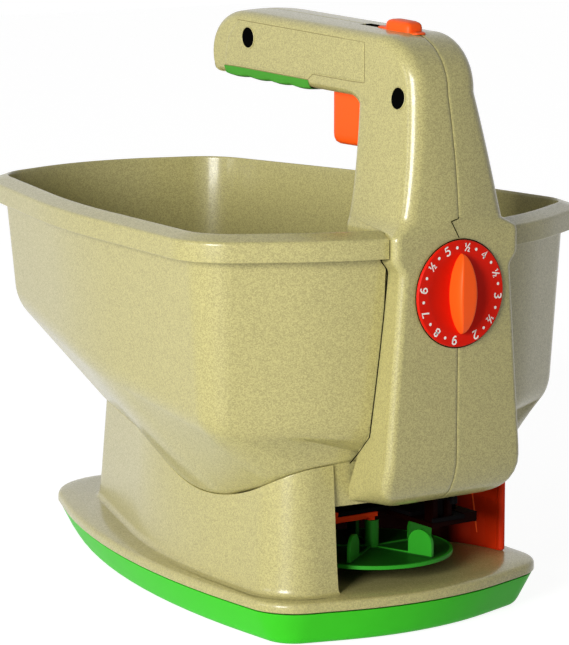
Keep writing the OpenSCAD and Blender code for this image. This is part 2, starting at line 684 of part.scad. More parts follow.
// Gate under the hopper outlet, pulled forward by the bell crank
crank_x = 14;
crank_pin_r = 1.5;
crank_y = deck_front + 5;
crank_z = neck_z + 12;
crank_arm_y = 14;
rod_y = crank_y - crank_arm_y;
rod_x = crank_x;
rod_r = 2;
hole_l = outlet_l;
gate_front = crank_y - 6;
hole_y = outlet_front + outlet_l + 1;
gate_back = hole_y + hole_l;
module gate() color(signal_orange) difference() {
  translate([-gate_half, gate_front, gate_z]) cube([2 * gate_half, gate_back - gate_front + 4, gate_t]);
  translate([-deck_boss_r - 3, axis_y - deck_boss_r - 2, gate_z - 1])
    cube([2 * deck_boss_r + 6, 2 * deck_boss_r + gate_travel + 4, gate_t + 2]);
  translate([-outlet_w / 2, hole_y, gate_z - 1]) cube([outlet_w, hole_l, gate_t + 2]);
  translate([crank_x - 8, crank_y - 4 - run_gap, gate_z - 1]) cube([16, 8 + gate_travel + 3, gate_t + 2]);
  front_left_cut(gate_z);
}
module bell_crank() color(signal_orange) difference() {
  union() {
    along_x(crank_y, crank_z, crank_x - 3, crank_x + 3, 4);
    translate([crank_x - 2, crank_y - 1.5, gate_z + gate_t + run_gap])
      cube([4, 3, crank_z - gate_z - gate_t - run_gap]);
    translate([crank_x - 2, rod_y + rod_r + run_gap, crank_z - 1.5])
      cube([4, crank_arm_y - rod_r - run_gap, 3]);
  }
  along_x(crank_y, crank_z, crank_x - 8, crank_x + 8, crank_pin_r + fit_gap);
}
module crank_pin() color(steel) along_x(crank_y, crank_z, crank_x - 7.5, crank_x + 7.5, crank_pin_r);
arm_half_h = 3;
arm_end = pin_y - trigger_arm;
jog_z = handle_low - 36;
bar_z = pin_z + arm_half_h + run_gap;
module pull_rod() color(steel) {
  translate([rod_x, rod_y, crank_z - 3]) cylinder(r = rod_r, h = jog_z + 1 - crank_z + 3);
  translate([rod_x - rod_r, rod_y - rod_r, jog_z]) cube([2 * rod_r, arm_end - rod_y + 2 * rod_r, 3]);
  translate([rod_x, arm_end, jog_z + 1]) cylinder(r = rod_r, h = bar_z - jog_z);
  translate([-4, arm_end - rod_r, bar_z]) cube([rod_x + rod_r + 4, 2 * rod_r, 3]);
}

// Spinner, gears and motor
hub_r = hub_d / 2;
vanes = 5;
module impeller() color(leaf_green) difference() {
  union() {
    translate([0, axis_y, disc_z]) cylinder(r = disc_d / 2, h = disc_t, $fn = 96);
    translate([0, axis_y, disc_z]) cylinder(r = hub_r, h = boss_low - 0.5 - disc_z);
    for (k = [0 : vanes - 1]) translate([0, axis_y, disc_z + disc_t - eps]) rotate([0, 0, 360 * k / vanes]) {
      translate([disc_d / 2 - 20, -1, 0]) cube([16, 2, vane_h - 8]);
      translate([disc_d / 2 - 12, 1, vane_h - 8]) rotate([90, 0, 0]) cylinder(r = 8, h = 2);
      translate([hub_r - 1, -0.6, 0]) cube([disc_d / 2 - 20 - hub_r + 1.5, 1.2, 1.2]);
    }
  }
  translate([0, axis_y, disc_z - 1]) cylinder(r = shaft_r, h = 60);
}
shaft_top = bracket_z + bracket_t + 3;
module impeller_shaft() color(steel) translate([0, axis_y, disc_z + 0.5])
  cylinder(r = shaft_r, h = shaft_top - disc_z - 0.5);
module shaft_bushings() color(brass) {
  for (span = [[boss_low, deck_z + deck_t], [bracket_z, bracket_z + bracket_t]])
    translate([0, axis_y, span[0]]) difference() {
      cylinder(r = bush_r, h = span[1] - span[0]);
      translate([0, 0, -1]) cylinder(r = shaft_r + fit_gap, h = 40);
    }
}
function polar(a) = [cos(a), sin(a)];
// Spur gear with straight-sided teeth
module spur(teeth, w, turn) {
  r = gear_module * teeth / 2;
  root = r - gear_module * 1.15;
  tip = r + gear_module * 0.8;
  step = 360 / teeth;
  linear_extrude(height = w) polygon([
    for (k = [0 : teeth - 1]) let (a = turn + k * step)
      each [
        root * polar(a - step * 0.29), tip * polar(a - step * 0.11),
        tip * polar(a + step * 0.11), root * polar(a + step * 0.29)
      ]
  ]);
}
module drive_gear() color([0.9, 0.9, 0.86]) translate([0, axis_y, gear_z]) difference() {
  union() {
    spur(gear_teeth, gear_w, -90 + 180 / gear_teeth);
    translate([0, 0, -3]) cylinder(r = 4.5, h = gear_w + 5);
  }
  translate([0, 0, -5]) cylinder(r = shaft_r, h = gear_w + 12);
}
motor_shaft_r = 1;
module motor_pinion() color(brass) translate([0, motor_y, gear_z]) difference() {
  spur(pinion_teeth, gear_w, 90);
  translate([0, 0, -1]) cylinder(r = motor_shaft_r, h = gear_w + 2);
}
motor_z = bracket_z + bracket_t + seat_gap;
motor_nose_r = 3;
module motor() color(steel) translate([0, motor_y, motor_z]) {
  cylinder(r = motor_d / 2, h = motor_l);
  translate([0, 0, motor_l - eps]) cylinder(r = 5, h = 2);
  translate([0, 0, -bracket_t]) cylinder(r = motor_nose_r, h = bracket_t + eps);
  translate([0, 0, gear_z - motor_z]) cylinder(r = motor_shaft_r - fit_gap, h = motor_z - gear_z);
}
module motor_bracket() color(dark_grey) difference() {
  union() {
    translate([-tower_in_w + 0.3, motor_y - 14, bracket_z])
      cube([2 * tower_in_w - 0.6, hood_y - motor_y + 13.5, bracket_t]);
    translate([rod_x - 6, rod_y - 5, bracket_z]) cube([12, motor_y - 9 - rod_y, bracket_t]);
  }
  translate([rod_x, rod_y, bracket_z - 1]) cylinder(r = rod_r + fit_gap, h = bracket_t + 2);
  translate([0, motor_y, bracket_z - 1]) cylinder(r = motor_nose_r + seat_gap, h = bracket_t + 2);
  translate([0, axis_y, bracket_z - 1]) cylinder(r = bush_r, h = bracket_t + 2);
  at_bosses() translate([0, 0, bracket_z - 1]) cylinder(r = screw_r + 0.3, h = bracket_t + 2);
}
module bracket_screws() color(steel) at_bosses() translate([0, 0, bracket_z + bracket_t]) {
  cylinder(r = head_r, h = head_h);
  translate([0, 0, -bracket_t - 8]) cylinder(r = screw_r - fit_gap, h = bracket_t + 9);
}

// Trigger with its arm, spring and switch
module trigger() color(signal_orange) difference() {
  union() {
    intersection() {
      translate([-trigger_half, post_back - 4, trigger_low])
        cube([trigger_w, trigger_back - post_back + 4, pin_z - trigger_low]);
      union() {
        along_x(trigger_back - 8, trigger_low + 8, -40, 40, 8);
        translate([-40, post_back - 10, trigger_low]) cube([80, trigger_back - post_back + 2, 8]);
        translate([-40, post_back - 10, trigger_low + 8]) cube([80, trigger_back - post_back + 10, 60]);
      }
    }
    along_x(pin_y, pin_z, -trigger_half, trigger_half, trigger_pin_r + 3);
    translate([-4, arm_end - 1, pin_z - arm_half_h]) cube([8, trigger_arm + 1, 2 * arm_half_h]);
  }
  along_x(pin_y, pin_z, -40, 40, trigger_pin_r + fit_gap);
}
module trigger_pin() color(steel) along_x(pin_y, pin_z, -handle_half_w + 3, handle_half_w - 3, trigger_pin_r);
// Torsion spring round the right seat of the pin, with a leg along the handle
seat_r = trigger_pin_r + 2.5;
spring_in = seat_r + 0.3;
spring_x = trigger_half + 3;
module trigger_spring() color(steel) {
  difference() {
    along_x(pin_y, pin_z, spring_x, spring_x + 5, spring_in + 1);
    along_x(pin_y, pin_z, spring_x - 1, spring_x + 6, spring_in);
  }
  translate([spring_x + 4, pin_y, pin_z + spring_in]) cube([1, 18, 1]);
}
switch_size = [13.7, 18, 10];
module micro_switch() color(dark_grey)
  translate([-handle_half_w + housing_wall + seat_gap, front_y + 34.5, handle_low + 8]) cube(switch_size);
// Lock slider: tilted with the top of the handle
slider_l = 35;
slider_tilt = 4.1;
slider_front = front_y + 37;
slider_z = handle_top - 7.2;
module lock_slider() color(signal_orange) translate([0, slider_front, slider_z]) rotate([slider_tilt, 0, 0]) {
  translate([-slider_w / 2, 0, 0]) rotate([90, 0, 90]) linear_extrude(height = slider_w)
    polygon([[0, 0], [slider_l, 0], [slider_l, 1.2], [24, 5.4], [22, 6.2], [4, 6.6], [1.2, 5.4], [0, 3]]);
  translate([-slot_half, 6, -6]) cube([2 * slot_half, foot_l, 6 + eps]);
}

// Dial with its shaft and clip
dial_r = dial_d / 2;
dial_y = front_y - run_gap;
bar_w = 8;
module dial_knob() color(dial_red) translate([0, dial_y, dial_z]) rotate([90, 0, 0]) {
  difference() {
    cylinder(r = dial_r, h = dial_t, $fn = 96);
    translate([0, 0, dial_t - 1.6]) cylinder(r1 = dial_r - 12, r2 = dial_r - 8.5, h = 2);
  }
  hull() for (sy = [-1, 1]) translate([0, sy * (dial_r - 13), 0]) {
    cylinder(r = bar_w / 2, h = dial_t, $fn = 24);
    translate([0, -sy * 3, 0]) cylinder(r = bar_w / 2 - 1.5, h = dial_t + dial_bar, $fn = 24);
  }
}
shaft_l = run_gap + housing_wall + 3.2;
module dial_shaft() color(dial_red) translate([0, dial_y, dial_z]) rotate([-90, 0, 0]) difference() {
  cylinder(r = dial_shaft_d / 2, h = shaft_l);
  translate([0, 0, shaft_l - 3]) difference() {
    cylinder(r = dial_shaft_d, h = 1.2);
    translate([0, 0, -1]) cylinder(r = dial_shaft_d / 2 - 1, h = 4);
  }
}
module dial_clip() color(steel)
  translate([0, dial_y + shaft_l - 2.9, dial_z]) rotate([-90, 0, 0]) difference() {
    cylinder(r = dial_shaft_d / 2 + 3, h = 1);
    translate([0, 0, -1]) cylinder(r = dial_shaft_d / 2 - 1 + fit_gap, h = 3);
    translate([-1.5, 0, -1]) cube([3, dial_shaft_d, 3]);
  }

// Cells in the handle, two by two, with a contact plate at each end
module batteries() color([0.3, 0.32, 0.36]) for (sx = [-1, 1]) for (z = cell_zs)
  translate([sx * cell_x, cell_y, z]) rotate([-90, 0, 0]) {
    cylinder(r = cell_r, h = cell_l);
    translate([0, 0, cell_l - eps]) cylinder(r = 2.7, h = cell_nub);
  }
module battery_contacts() color(steel) for (y = [cell_y - 0.1 - contact_t, pack_back - contact_t])
  translate([-cell_x - 6, y, cell_zs[0] - 6])
    cube([2 * cell_x + 12, contact_t, cell_zs[1] - cell_zs[0] + 12]);

base_tray();
pedestal();
hopper();
left_housing();
right_housing();
battery_door();
grip_insert();
deflector();
chamber_deck();
impeller();
impeller_shaft();
shaft_bushings();
drive_gear();
motor_pinion();
motor();
motor_bracket();
gate();
bell_crank();
crank_pin();
pull_rod();
trigger();
trigger_pin();
trigger_spring();
micro_switch();
lock_slider();
dial_knob();
dial_shaft();
dial_clip();
batteries();
battery_contacts();
housing_screws();
door_screw();
base_screws();
deck_screws();
bracket_screws();
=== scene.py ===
# %% [markdown]
# # Looks of a hand spreader
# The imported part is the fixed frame: solids on bodies that turn and slide. The spreader could be modelled
# afresh in Blender, but then its looks and its joints would drift apart. So the frame is loaded first,
# and smooth skins are laid over its large shells in the same millimetres. Small inner pieces keep their
# CAD meshes.

# %% Load the frame
import math
import bpy
import numpy as np
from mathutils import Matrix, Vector


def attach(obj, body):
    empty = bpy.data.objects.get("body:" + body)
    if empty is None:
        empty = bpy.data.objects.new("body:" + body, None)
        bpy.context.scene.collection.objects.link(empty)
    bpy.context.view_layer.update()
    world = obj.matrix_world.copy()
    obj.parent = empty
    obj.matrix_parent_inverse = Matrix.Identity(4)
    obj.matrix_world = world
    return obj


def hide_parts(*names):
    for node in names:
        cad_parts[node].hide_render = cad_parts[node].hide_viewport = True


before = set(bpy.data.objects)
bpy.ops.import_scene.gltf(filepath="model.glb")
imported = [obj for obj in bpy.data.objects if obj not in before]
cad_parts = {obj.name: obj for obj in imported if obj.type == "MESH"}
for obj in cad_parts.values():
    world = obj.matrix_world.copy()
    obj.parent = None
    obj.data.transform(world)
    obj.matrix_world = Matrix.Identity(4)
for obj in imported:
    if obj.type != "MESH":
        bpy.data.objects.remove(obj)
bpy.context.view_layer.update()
MM = 0.001

# %% [markdown]
# ## Materials from sockets
# Flake and grain in plastic are patterns that shader nodes compute. They could be wired by hand in the
# node editor. Here a small class wraps one output of a node, so that a pattern is written as sums and
# products and can be read like a formula.

# %% Socket arithmetic
class Val:
    """A node output that adds, subtracts, multiplies and divides through Math nodes."""

    def __init__(self, mat, out):
        self.mat, self.out = mat, out

    def math(self, op, a, b=None):
        return self.mat.node("ShaderNodeMath", {0: a} if b is None else {0: a, 1: b}, operation=op)

    def __add__(self, o): return self.math("ADD", self, o)
    def __radd__(self, o): return self.math("ADD", o, self)
    def __sub__(self, o): return self.math("SUBTRACT", self, o)
    def __rsub__(self, o): return self.math("SUBTRACT", o, self)
    def __mul__(self, o): return self.math("MULTIPLY", self, o)
    def __rmul__(self, o): return self.math("MULTIPLY", o, self)
    def __truediv__(self, o): return self.math("DIVIDE", self, o)
    def __rtruediv__(self, o): return self.math("DIVIDE", o, self)
    def __pow__(self, o): return self.math("POWER", self, o)
    def below(self, o): return self.math("LESS_THAN", self, o)


print("sockets add, subtract, multiply and divide")

# %% [markdown]
# ## One shader for each finish
# Every finish of the real object is one moulded or turned surface, so each material holds a single
# Principled shader. Constants go straight on the shader's sockets. Patterns are placed by Object
# coordinates, which need no unwrapping and stay fixed to a piece when it moves.

# %% Material class
class Mat:
    """A material with one Principled shader; constants go on the shader's own sockets."""

    def __init__(self, name, color, **constants):
        self.mat = bpy.data.materials.new(name)
        self.mat.use_nodes = True
        self.tree = self.mat.node_tree
        self.shader = self.tree.nodes["Principled BSDF"]
        self.color = (*color, 1.0)
        self.shader.inputs["Base Color"].default_value = self.color
        for key, value in constants.items():
            self.shader.inputs[key.replace("_", " ")].default_value = value
        self.mat.diffuse_color = self.color

    def put(self, socket, value):
        if isinstance(value, Val):
            self.tree.links.new(value.out, socket)
        else:
            socket.default_value = value

    def node(self, kind, inputs, out=0, **settings):
        n = self.tree.nodes.new(kind)
        for key, value in settings.items():
            setattr(n, key, value)
        for key, value in inputs.items():
            self.put(n.inputs[key], value)
        return Val(self, n.outputs[out])

    def feed(self, name, value):
        self.put(self.shader.inputs[name], value)
        return self

    def place(self):
        return self.node("ShaderNodeTexCoord", {}, out="Object")

    def noise(self, scale, detail=2.0):
        return self.node("ShaderNodeTexNoise", {"Vector": self.place(), "Scale": scale, "Detail": detail})

    def cells(self, scale):
        spot = self.node("ShaderNodeTexVoronoi", {"Vector": self.place(), "Scale": scale}, out="Color")
        return self.node("ShaderNodeSeparateColor", {"Color": spot}, out=0)

    def tint(self, amount):
        """Base colour times a number: near 1 for grain, far lower where shade is painted."""
        return self.node("ShaderNodeVectorMath", {0: self.color[:3], "Scale": amount}, operation="SCALE")


def linear(r, g, b):
    """Linear light of an 8 bit colour."""
    c = np.array([r, g, b]) / 255
    return tuple(np.where(c < 0.04045, c / 12.92, ((c + 0.055) / 1.055) ** 2.4))


print("white is", linear(255, 255, 255))

# %% [markdown]
# ## Champagne plastic
# Hopper, pedestal and housing are moulded in one champagne plastic with fine metal flake. A speckled
# picture could be wrapped round them, but it would blur close up. Voronoi cells about half a millimetre
# wide give each flake its own tone and gloss instead, and a thin clear coat adds the sharp lights on the
# corners.

# %% Champagne plastic
champagne = Mat("champagne", linear(167, 159, 103), Roughness=0.36, Specular_IOR_Level=0.3,
                Coat_Weight=0.45, Coat_Roughness=0.16)
flake = champagne.cells(1800.0)
champagne.feed("Base Color", champagne.tint(flake * 0.44 + 0.78))
champagne.feed("Roughness", 0.42 - flake * 0.14)
print("champagne", tuple(round(c, 3) for c in champagne.color))

# %% [markdown]
# ## Coloured plastics
# The tray, grip, trigger and dial are plain coloured mouldings. One colour and one gloss would do, but a
# real mould leaves a faint grain. A noise pattern varies gloss and tone by a few hundredths, which is
# just enough to keep large faces from looking painted.

# %% Coloured plastics
def plastic(name, color, rough, grain=0.06, scale=900.0, **constants):
    """Moulded plastic with a faint grain in its gloss."""
    m = Mat(name, color, Roughness=rough, **constants)
    m.feed("Roughness", m.noise(scale) * grain + (rough - grain / 2))
    m.feed("Base Color", m.tint(m.noise(60.0) * 0.08 + 0.96))
    return m


green = plastic("green", linear(58, 190, 34), 0.45, Specular_IOR_Level=0.1)
green_grip = plastic("green_grip", linear(70, 148, 48), 0.6, grain=0.15, Specular_IOR_Level=0.15)
orange = plastic("orange", linear(248, 88, 20), 0.42, Specular_IOR_Level=0.2)
red = plastic("red", linear(214, 24, 4), 0.45, Specular_IOR_Level=0.12)
print("plain plastics", [m.mat.name for m in (green, green_grip, orange, red)])

# %% [markdown]
# ## Colours and painted shade that change with place
# Three pieces in the chamber carry painted shade, which soft studio light doesn't give. The floor of the
# disc is darkened inside its bright rim, the chute is darkened toward its back and bright only at its mouth,
# and the deck is nearly black as painted shade, with only its left lug in its real orange. They could be cut
# into separate objects; a mask made from Object coordinates keeps one mesh and one material for each.

# %% Disc, chute and deck
# The disc's green is darker than the tray's, partly its own tone and partly painted shade of the chamber.
disc_green = plastic("disc_green", linear(40, 142, 30), 0.45, Specular_IOR_Level=0.15)
DISC_Y, DISC_R, DISC_TOP = -0.107, 0.0443, 0.0389
spot = disc_green.place()
px, py, pz = (disc_green.node("ShaderNodeSeparateXYZ", {"Vector": spot}, out=k) for k in "XYZ")
# Painted shade: the floor of the disc inside its rim is darkened to a quarter of its green.
disc_floor_shade = (px * px + (py - DISC_Y) * (py - DISC_Y)).below(DISC_R ** 2) * pz.below(DISC_TOP)
disc_green.feed("Base Color", disc_green.tint(1.0 - disc_floor_shade * 0.75))
chute = plastic("chute", linear(240, 54, 10), 0.5, Specular_IOR_Level=0.1)
out = chute.node("ShaderNodeSeparateXYZ", {"Vector": chute.place()}, out="X")
# Painted shade: the chute is darkened toward its back, down to 0.03 of its colour, and fully bright only at
# its mouth.
near = chute.node("ShaderNodeMapRange", {"Value": out, "From Min": 0.071, "From Max": 0.084,
                                         "To Min": 0.03, "To Max": 1.0})
chute.feed("Base Color", chute.tint(near))
deck_plastic = Mat("deck_plastic", linear(240, 66, 22), Roughness=0.6, Specular_IOR_Level=0.02)
across = deck_plastic.node("ShaderNodeSeparateXYZ", {"Vector": deck_plastic.place()}, out="X")
# Painted shade: the deck is nearly black, 0.005 of its colour, except its left lug, which keeps its real
# orange.
deck_plastic.feed("Base Color", deck_plastic.tint(across.below(-0.001) * 0.995 + 0.005))
print("tinted by place", disc_green.mat.name, chute.mat.name, deck_plastic.mat.name)

# %% [markdown]
# ## Dark, white and metal
# Hidden linkage is matt black as painted shade, so that the chamber reads as a deep shadow. Gaps get a black
# without any gloss; recesses and the deck screws get the same black as painted shade. The printed numbers
# get a white, and pins, spring, cells and bushings a metal. They share the grain helper, because a metal
# made the same way stays easy to compare.

# %% Dark and metal finishes
dark = plastic("dark", linear(9, 8, 9), 0.7, Specular_IOR_Level=0.02)
black = plastic("black", linear(6, 6, 6), 0.8, Specular_IOR_Level=0.0)
shade = plastic("shade", linear(128, 120, 80), 0.7, Specular_IOR_Level=0.1)
white = plastic("white", linear(240, 238, 230), 0.5)
steel = plastic("steel", linear(196, 196, 200), 0.3, Metallic=1.0)
brass = plastic("brass", linear(206, 172, 96), 0.32, Metallic=1.0)
cell_case = plastic("cell_case", linear(70, 74, 84), 0.4, Metallic=0.4)
print("metals", steel.mat.name, brass.mat.name)

# %% [markdown]
# ## Materials on the CAD pieces
# Each node of the frame is one physical piece. Materials could be set one by one in the editor; a table
# from finish to names shows at a glance which pieces share a finish.

# %% Materials on the nodes
MATERIAL_OF = {
    champagne: ["pedestal", "hopper", "left_housing", "right_housing", "battery_door"],
    green: ["base_tray"], disc_green: ["impeller"], green_grip: ["grip_insert"],
    orange: ["trigger", "lock_slider"], deck_plastic: ["chamber_deck"], chute: ["deflector"],
    red: ["dial_knob", "dial_shaft"],
    # dark on the hidden linkage is painted shade of the chamber
    dark: ["micro_switch", "motor_bracket", "bracket_screws", "gate", "bell_crank", "pull_rod", "crank_pin",
           "drive_gear", "impeller_shaft"],
    # black on the deck screws is painted shade of the chamber
    black: ["housing_screws", "door_screw", "deck_screws"], brass: ["shaft_bushings", "motor_pinion"],
    cell_case: ["batteries"],
    steel: ["motor", "trigger_pin", "trigger_spring", "dial_clip", "battery_contacts", "base_screws"],
}
for material, names in MATERIAL_OF.items():
    for name in names:
        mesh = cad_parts[name].data
        mesh.materials.clear()
        mesh.materials.append(material.mat)
print("materials", len(bpy.data.materials))

# %% [markdown]
# ## Faces of a grid
# A moulded shell is a sheet that runs in two directions, so a grid of points describes it. Faces could be
# added one at a time; the corner numbers of all quads follow from two index ranges, which numpy writes at
# once. Rows or columns may close on themselves, as a ring does.

# %% Grid faces
def grid_faces(rows, cols, close_rows=False, close_cols=False):
    """Corner numbers of the quads of a rows by cols grid, as an array (n, 4)."""
    i, j = np.meshgrid(np.arange(rows if close_rows else rows - 1),
                       np.arange(cols if close_cols else cols - 1), indexing="ij")
    i1, j1 = (i + 1) % rows, (j + 1) % cols
    return np.stack([i * cols + j, i * cols + j1, i1 * cols + j1, i1 * cols + j], -1).reshape(-1, 4)


print("a 3 by 3 grid has", len(grid_faces(3, 3)), "faces")

# %% [markdown]
# ## From grid to object
# Each skin must ride on the body that carries the real piece, and hide the node it stands for. One function
# makes the mesh, marks edges sharper than a limit, parents it to an empty named for its body and hides those
# nodes. Caps close the ends, and a mask leaves faces out for openings.

# %% Grids into pieces
def piece(name, points, material, body="body", nodes=(), close_rows=False, close_cols=False,
          caps=(False, False), keep=None, flip=False, smooth=40.0):
    """A mesh object from a grid in millimetres, riding on a body."""
    rows, cols = points.shape[:2]
    quads = grid_faces(rows, cols, close_rows, close_cols)
    if keep is not None:
        quads = quads[keep.reshape(-1)]
    faces = quads.tolist()
    if caps[0]:
        faces.append(list(range(cols))[::-1])
    if caps[1]:
        faces.append(list(range((rows - 1) * cols, rows * cols)))
    if flip:
        faces = [f[::-1] for f in faces]
    mesh = bpy.data.meshes.new(name)
    mesh.from_pydata((points.reshape(-1, 3) * MM).tolist(), [], faces)
    mesh.update()
    mesh.shade_smooth()
    mesh.set_sharp_from_angle(angle=math.radians(smooth))
    mesh.materials.append(material.mat)
    obj = bpy.data.objects.new(name, mesh)
    bpy.context.scene.collection.objects.link(obj)
    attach(obj, body)
    if nodes:
        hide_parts(*nodes)
    return obj


print("piece helper ready")

# %% [markdown]
# ## Outlines of arcs
# Hopper, pedestal and tray share one kind of outline: a flat front curve, a corner, a long side, a back
# corner and a back, mirrored. A Bezier curve could be drawn over the photo. Arcs joined by tangents were
# chosen because each radius can be measured and the outline can be grown by a number.

# %% Arc chains
def chain(front, front_r, corner, side, back_corner, back, back_r):
    """Centres and radii of front, corner, side, back corner and back, then mirrored."""
    half = [(0, front + front_r, front_r), corner, (side[0] - side[2], side[1], side[2]), back_corner]
    tail = [(0, back - back_r, back_r)] + [(-x, y, r) for x, y, r in half[:0:-1]]
    return np.array(half + tail, float)


def spans(arcs):
    """Start and end angle of each arc: at the tangent from the arc before and to the arc after."""
    after = np.roll(arcs, -1, 0)
    d = after[:, :2] - arcs[:, :2]
    turn = np.clip((arcs[:, 2] - after[:, 2]) / np.hypot(*d.T), -1, 1)
    end = np.arctan2(d[:, 1], d[:, 0]) - np.arccos(turn)
    start = np.roll(end, 1)
    return start, start + (end - start) % (2 * np.pi)


def ring(arcs, grow, n=14, gap=None):
    """Outline points (m, 2), grown outward. With a gap, the front is left open from x = -gap to gap."""
    start, end = spans(arcs)
    t = start[:, None] + (end - start)[:, None] * np.linspace(0, 1, n)
    if gap is None:
        which = np.arange(len(arcs))
    else:
        a = math.asin(gap / (arcs[0, 2] + grow))
        down = -np.pi / 2 + 2 * np.pi * np.round((t[0].mean() + np.pi / 2) / (2 * np.pi))
        right = np.linspace(down + a, t[0, -1], n)
        left = np.linspace(t[0, 0], down - a, n)
        t = np.vstack([right, t[1:], left])
        which = np.r_[np.arange(len(arcs)), 0]
    r = arcs[which, 2][:, None] + grow
    x, y = arcs[which, 0][:, None] + r * np.cos(t), arcs[which, 1][:, None] + r * np.sin(t)
    return np.stack([x, y], -1).reshape(-1, 2)


print("outline helper ready")

# %% [markdown]
# ## Levels and roundings
# A moulded wall is the same outline at several heights, with soft edges between. A bevel modifier could
# round the edges, but its width would vary with the grid. Here each level is replaced by a short
# quadratic curve toward its neighbours, so an edge has the same softness all round.

# %% Levels and roundings
def at(points, z):
    """Outline points lifted to height z, a number or one per point."""
    return np.column_stack([points, np.broadcast_to(z, len(points))])


def rounded(rings, radii, n=6, closed=False):
    """Rows through the rings (k, m, 3); p + a (1 - t)^2 + b t^2 rounds each ring from a radius away."""
    rings = np.asarray(rings)
    k = len(rings)
    rows = []
    for i, r in enumerate(radii):
        if r == 0 or (not closed and i in (0, k - 1)):
            rows.append(rings[i][None])
            continue
        p, a, b = rings[i], rings[i - 1] - rings[i], rings[(i + 1) % k] - rings[i]
        a *= np.minimum(0.48, r / np.linalg.norm(a, axis=-1, keepdims=True))
        b *= np.minimum(0.48, r / np.linalg.norm(b, axis=-1, keepdims=True))
        t = np.linspace(0, 1, n)[:, None, None]
        rows.append(p + a * (1 - t) ** 2 + b * t ** 2)
    return np.concatenate(rows)


print("rounding helper ready")

# %% [markdown]
# ## The outlines of this spreader
# These numbers are the plan of the object in millimetres, the same as in the CAD source: the rim of the
# hopper, the foot of the pedestal, the platform, and the main heights. Two curves give the bend in the
# hopper wall and the wavy seam on the pedestal as heights that depend on depth.

# %% Outlines and heights
RIM = chain(-169.6, 172, (97.6, -109.6, 26.2), (119, -58, 533), (50, 143.4, 34.4), 189, 136)
FOOT = chain(-152, 200, (60, -118, 28), (88, -85, 380), (8, 122, 28), 152, 40)
PLATE = chain(-168, 178, (66, -124.6, 30), (98, -74, 560), (18.8, 150, 30), 192, 50.2)
SEAM_Z, PLATFORM_Z, NECK_Z = 20.5, 27.3, 63.5
RIM_Z, LIP_TOP, LIP_LOW, LIP_W, WALL = 230.0, 226.4, 215.4, 11.2, 2.5
POST_W, HOOD_Y, POST_BACK = 36.0, -76.65, -127.0


def ease(t):
    """Smooth step from 0 to 1."""
    u = np.clip(t, 0, 1)
    return u * u * (3 - 2 * u)


def break_z(y):
    """Height of the bend in the hopper wall."""
    return 122 + 0.115 * (y + 110)


def fold_z(y):
    """Height of the seam between hopper and pedestal."""
    return np.where(y > -55, 72 + 16 * ease((y + 55) / 100), 72 + 0.0035 * (y + 55) ** 2)


print("rim from", ring(RIM, 0).min(0).round(1), "to", ring(RIM, 0).max(0).round(1))

# %% [markdown]
# ## Tray and platform
# The green tray carries the spreader, and the platform lies on it with a dark seam between. Both could be
# extruded and bevelled by hand. As stacks of one outline, drawn in toward the ground and rounded at the
# edges, they are sure to meet all round.

# %% Tray and platform
def plate(grow, z):
    return at(ring(PLATE, grow), z)


def middle(z):
    """A tiny ring that closes a flat face."""
    return at(ring(PLATE, 0) * 0.01, z)


tray = rounded([middle(0.0), plate(-13, 0), plate(-10, 2), plate(-1.1, 19.5), plate(-3.7, 19.5),
                plate(-12.6, 2.6), middle(2.6)], [0, 3, 3, 0.5, 0.5, 2, 0])
piece("tray_skin", tray, green, nodes=["base_tray"], close_cols=True)
top = rounded([middle(PLATFORM_Z - 3), plate(-3, PLATFORM_Z - 3), plate(-3, SEAM_Z), plate(0, SEAM_Z),
               plate(0, PLATFORM_Z - 1.4), plate(-8, PLATFORM_Z), middle(PLATFORM_Z)],
              [0, 1, 0.3, 0.6, 2.6, 6, 0], n=7)
piece("platform_skin", top, champagne, nodes=["pedestal"], close_cols=True)
print("tray", tray.shape, "platform", top.shape)

# %% [markdown]
# ## Pedestal wall
# The pedestal is a leaning wall that holds the hopper and is open at the front right, where the disc
# throws the seed out. A boolean could cut the opening, but it would leave ragged faces. The outline is
# cut first and then carried up, so the edges of the opening are clean grid lines.

# %% Pedestal wall
def part_of(points, start, end, n):
    """The stretch of a closed outline between two places (axis, value, sign), cut at n even steps."""
    def place(axis, value, sign):
        v = (points[:, axis] - value)
        ok = (v * np.roll(v, -1) <= 0) & (points[:, 1 - axis] * sign > 0)
        i = np.flatnonzero(ok)[0]
        return i + v[i] / (v[i] - np.roll(v, -1)[i])
    a, b = place(*start), place(*end)
    if b < a:
        b += len(points)
    loop = np.vstack([points, points, points[:1]])
    step = np.r_[0, np.cumsum(np.linalg.norm(np.diff(loop, axis=0), axis=1))]
    count = np.arange(len(loop))
    s = np.interp(np.linspace(*np.interp([a, b], count, step), n), step, count)
    return np.column_stack([np.interp(s, count, loop[:, k]) for k in (0, 1)])


RIGHT_EDGE, LEFT_EDGE = (1, -109.0, 1), (0, -52.0, -1)


def wall_ring(grow, z):
    """One level of the pedestal wall; z is a height or 'seam' for the upper edge."""
    if z != "seam":
        return at(part_of(ring(FOOT, grow - 0.1 * (z - PLATFORM_Z), 24), RIGHT_EDGE, LEFT_EDGE, 150), z)
    p = part_of(ring(FOOT, grow - 5.2, 24), RIGHT_EDGE, LEFT_EDGE, 150)
    return at(p, fold_z(p[:, 1]) + 0.2)


PEDESTAL_T = 2.6
wall = rounded([wall_ring(5, PLATFORM_Z - 0.2), wall_ring(0, PLATFORM_Z + 0.2), wall_ring(0, 45),
                wall_ring(0, "seam"), wall_ring(-PEDESTAL_T, "seam"),
                wall_ring(-PEDESTAL_T, PLATFORM_Z - 0.5)],
               [0, 4, 0, 0.7, 0.7, 0])
piece("pedestal_wall", wall, champagne, close_rows=True)
print("wall", wall.shape)

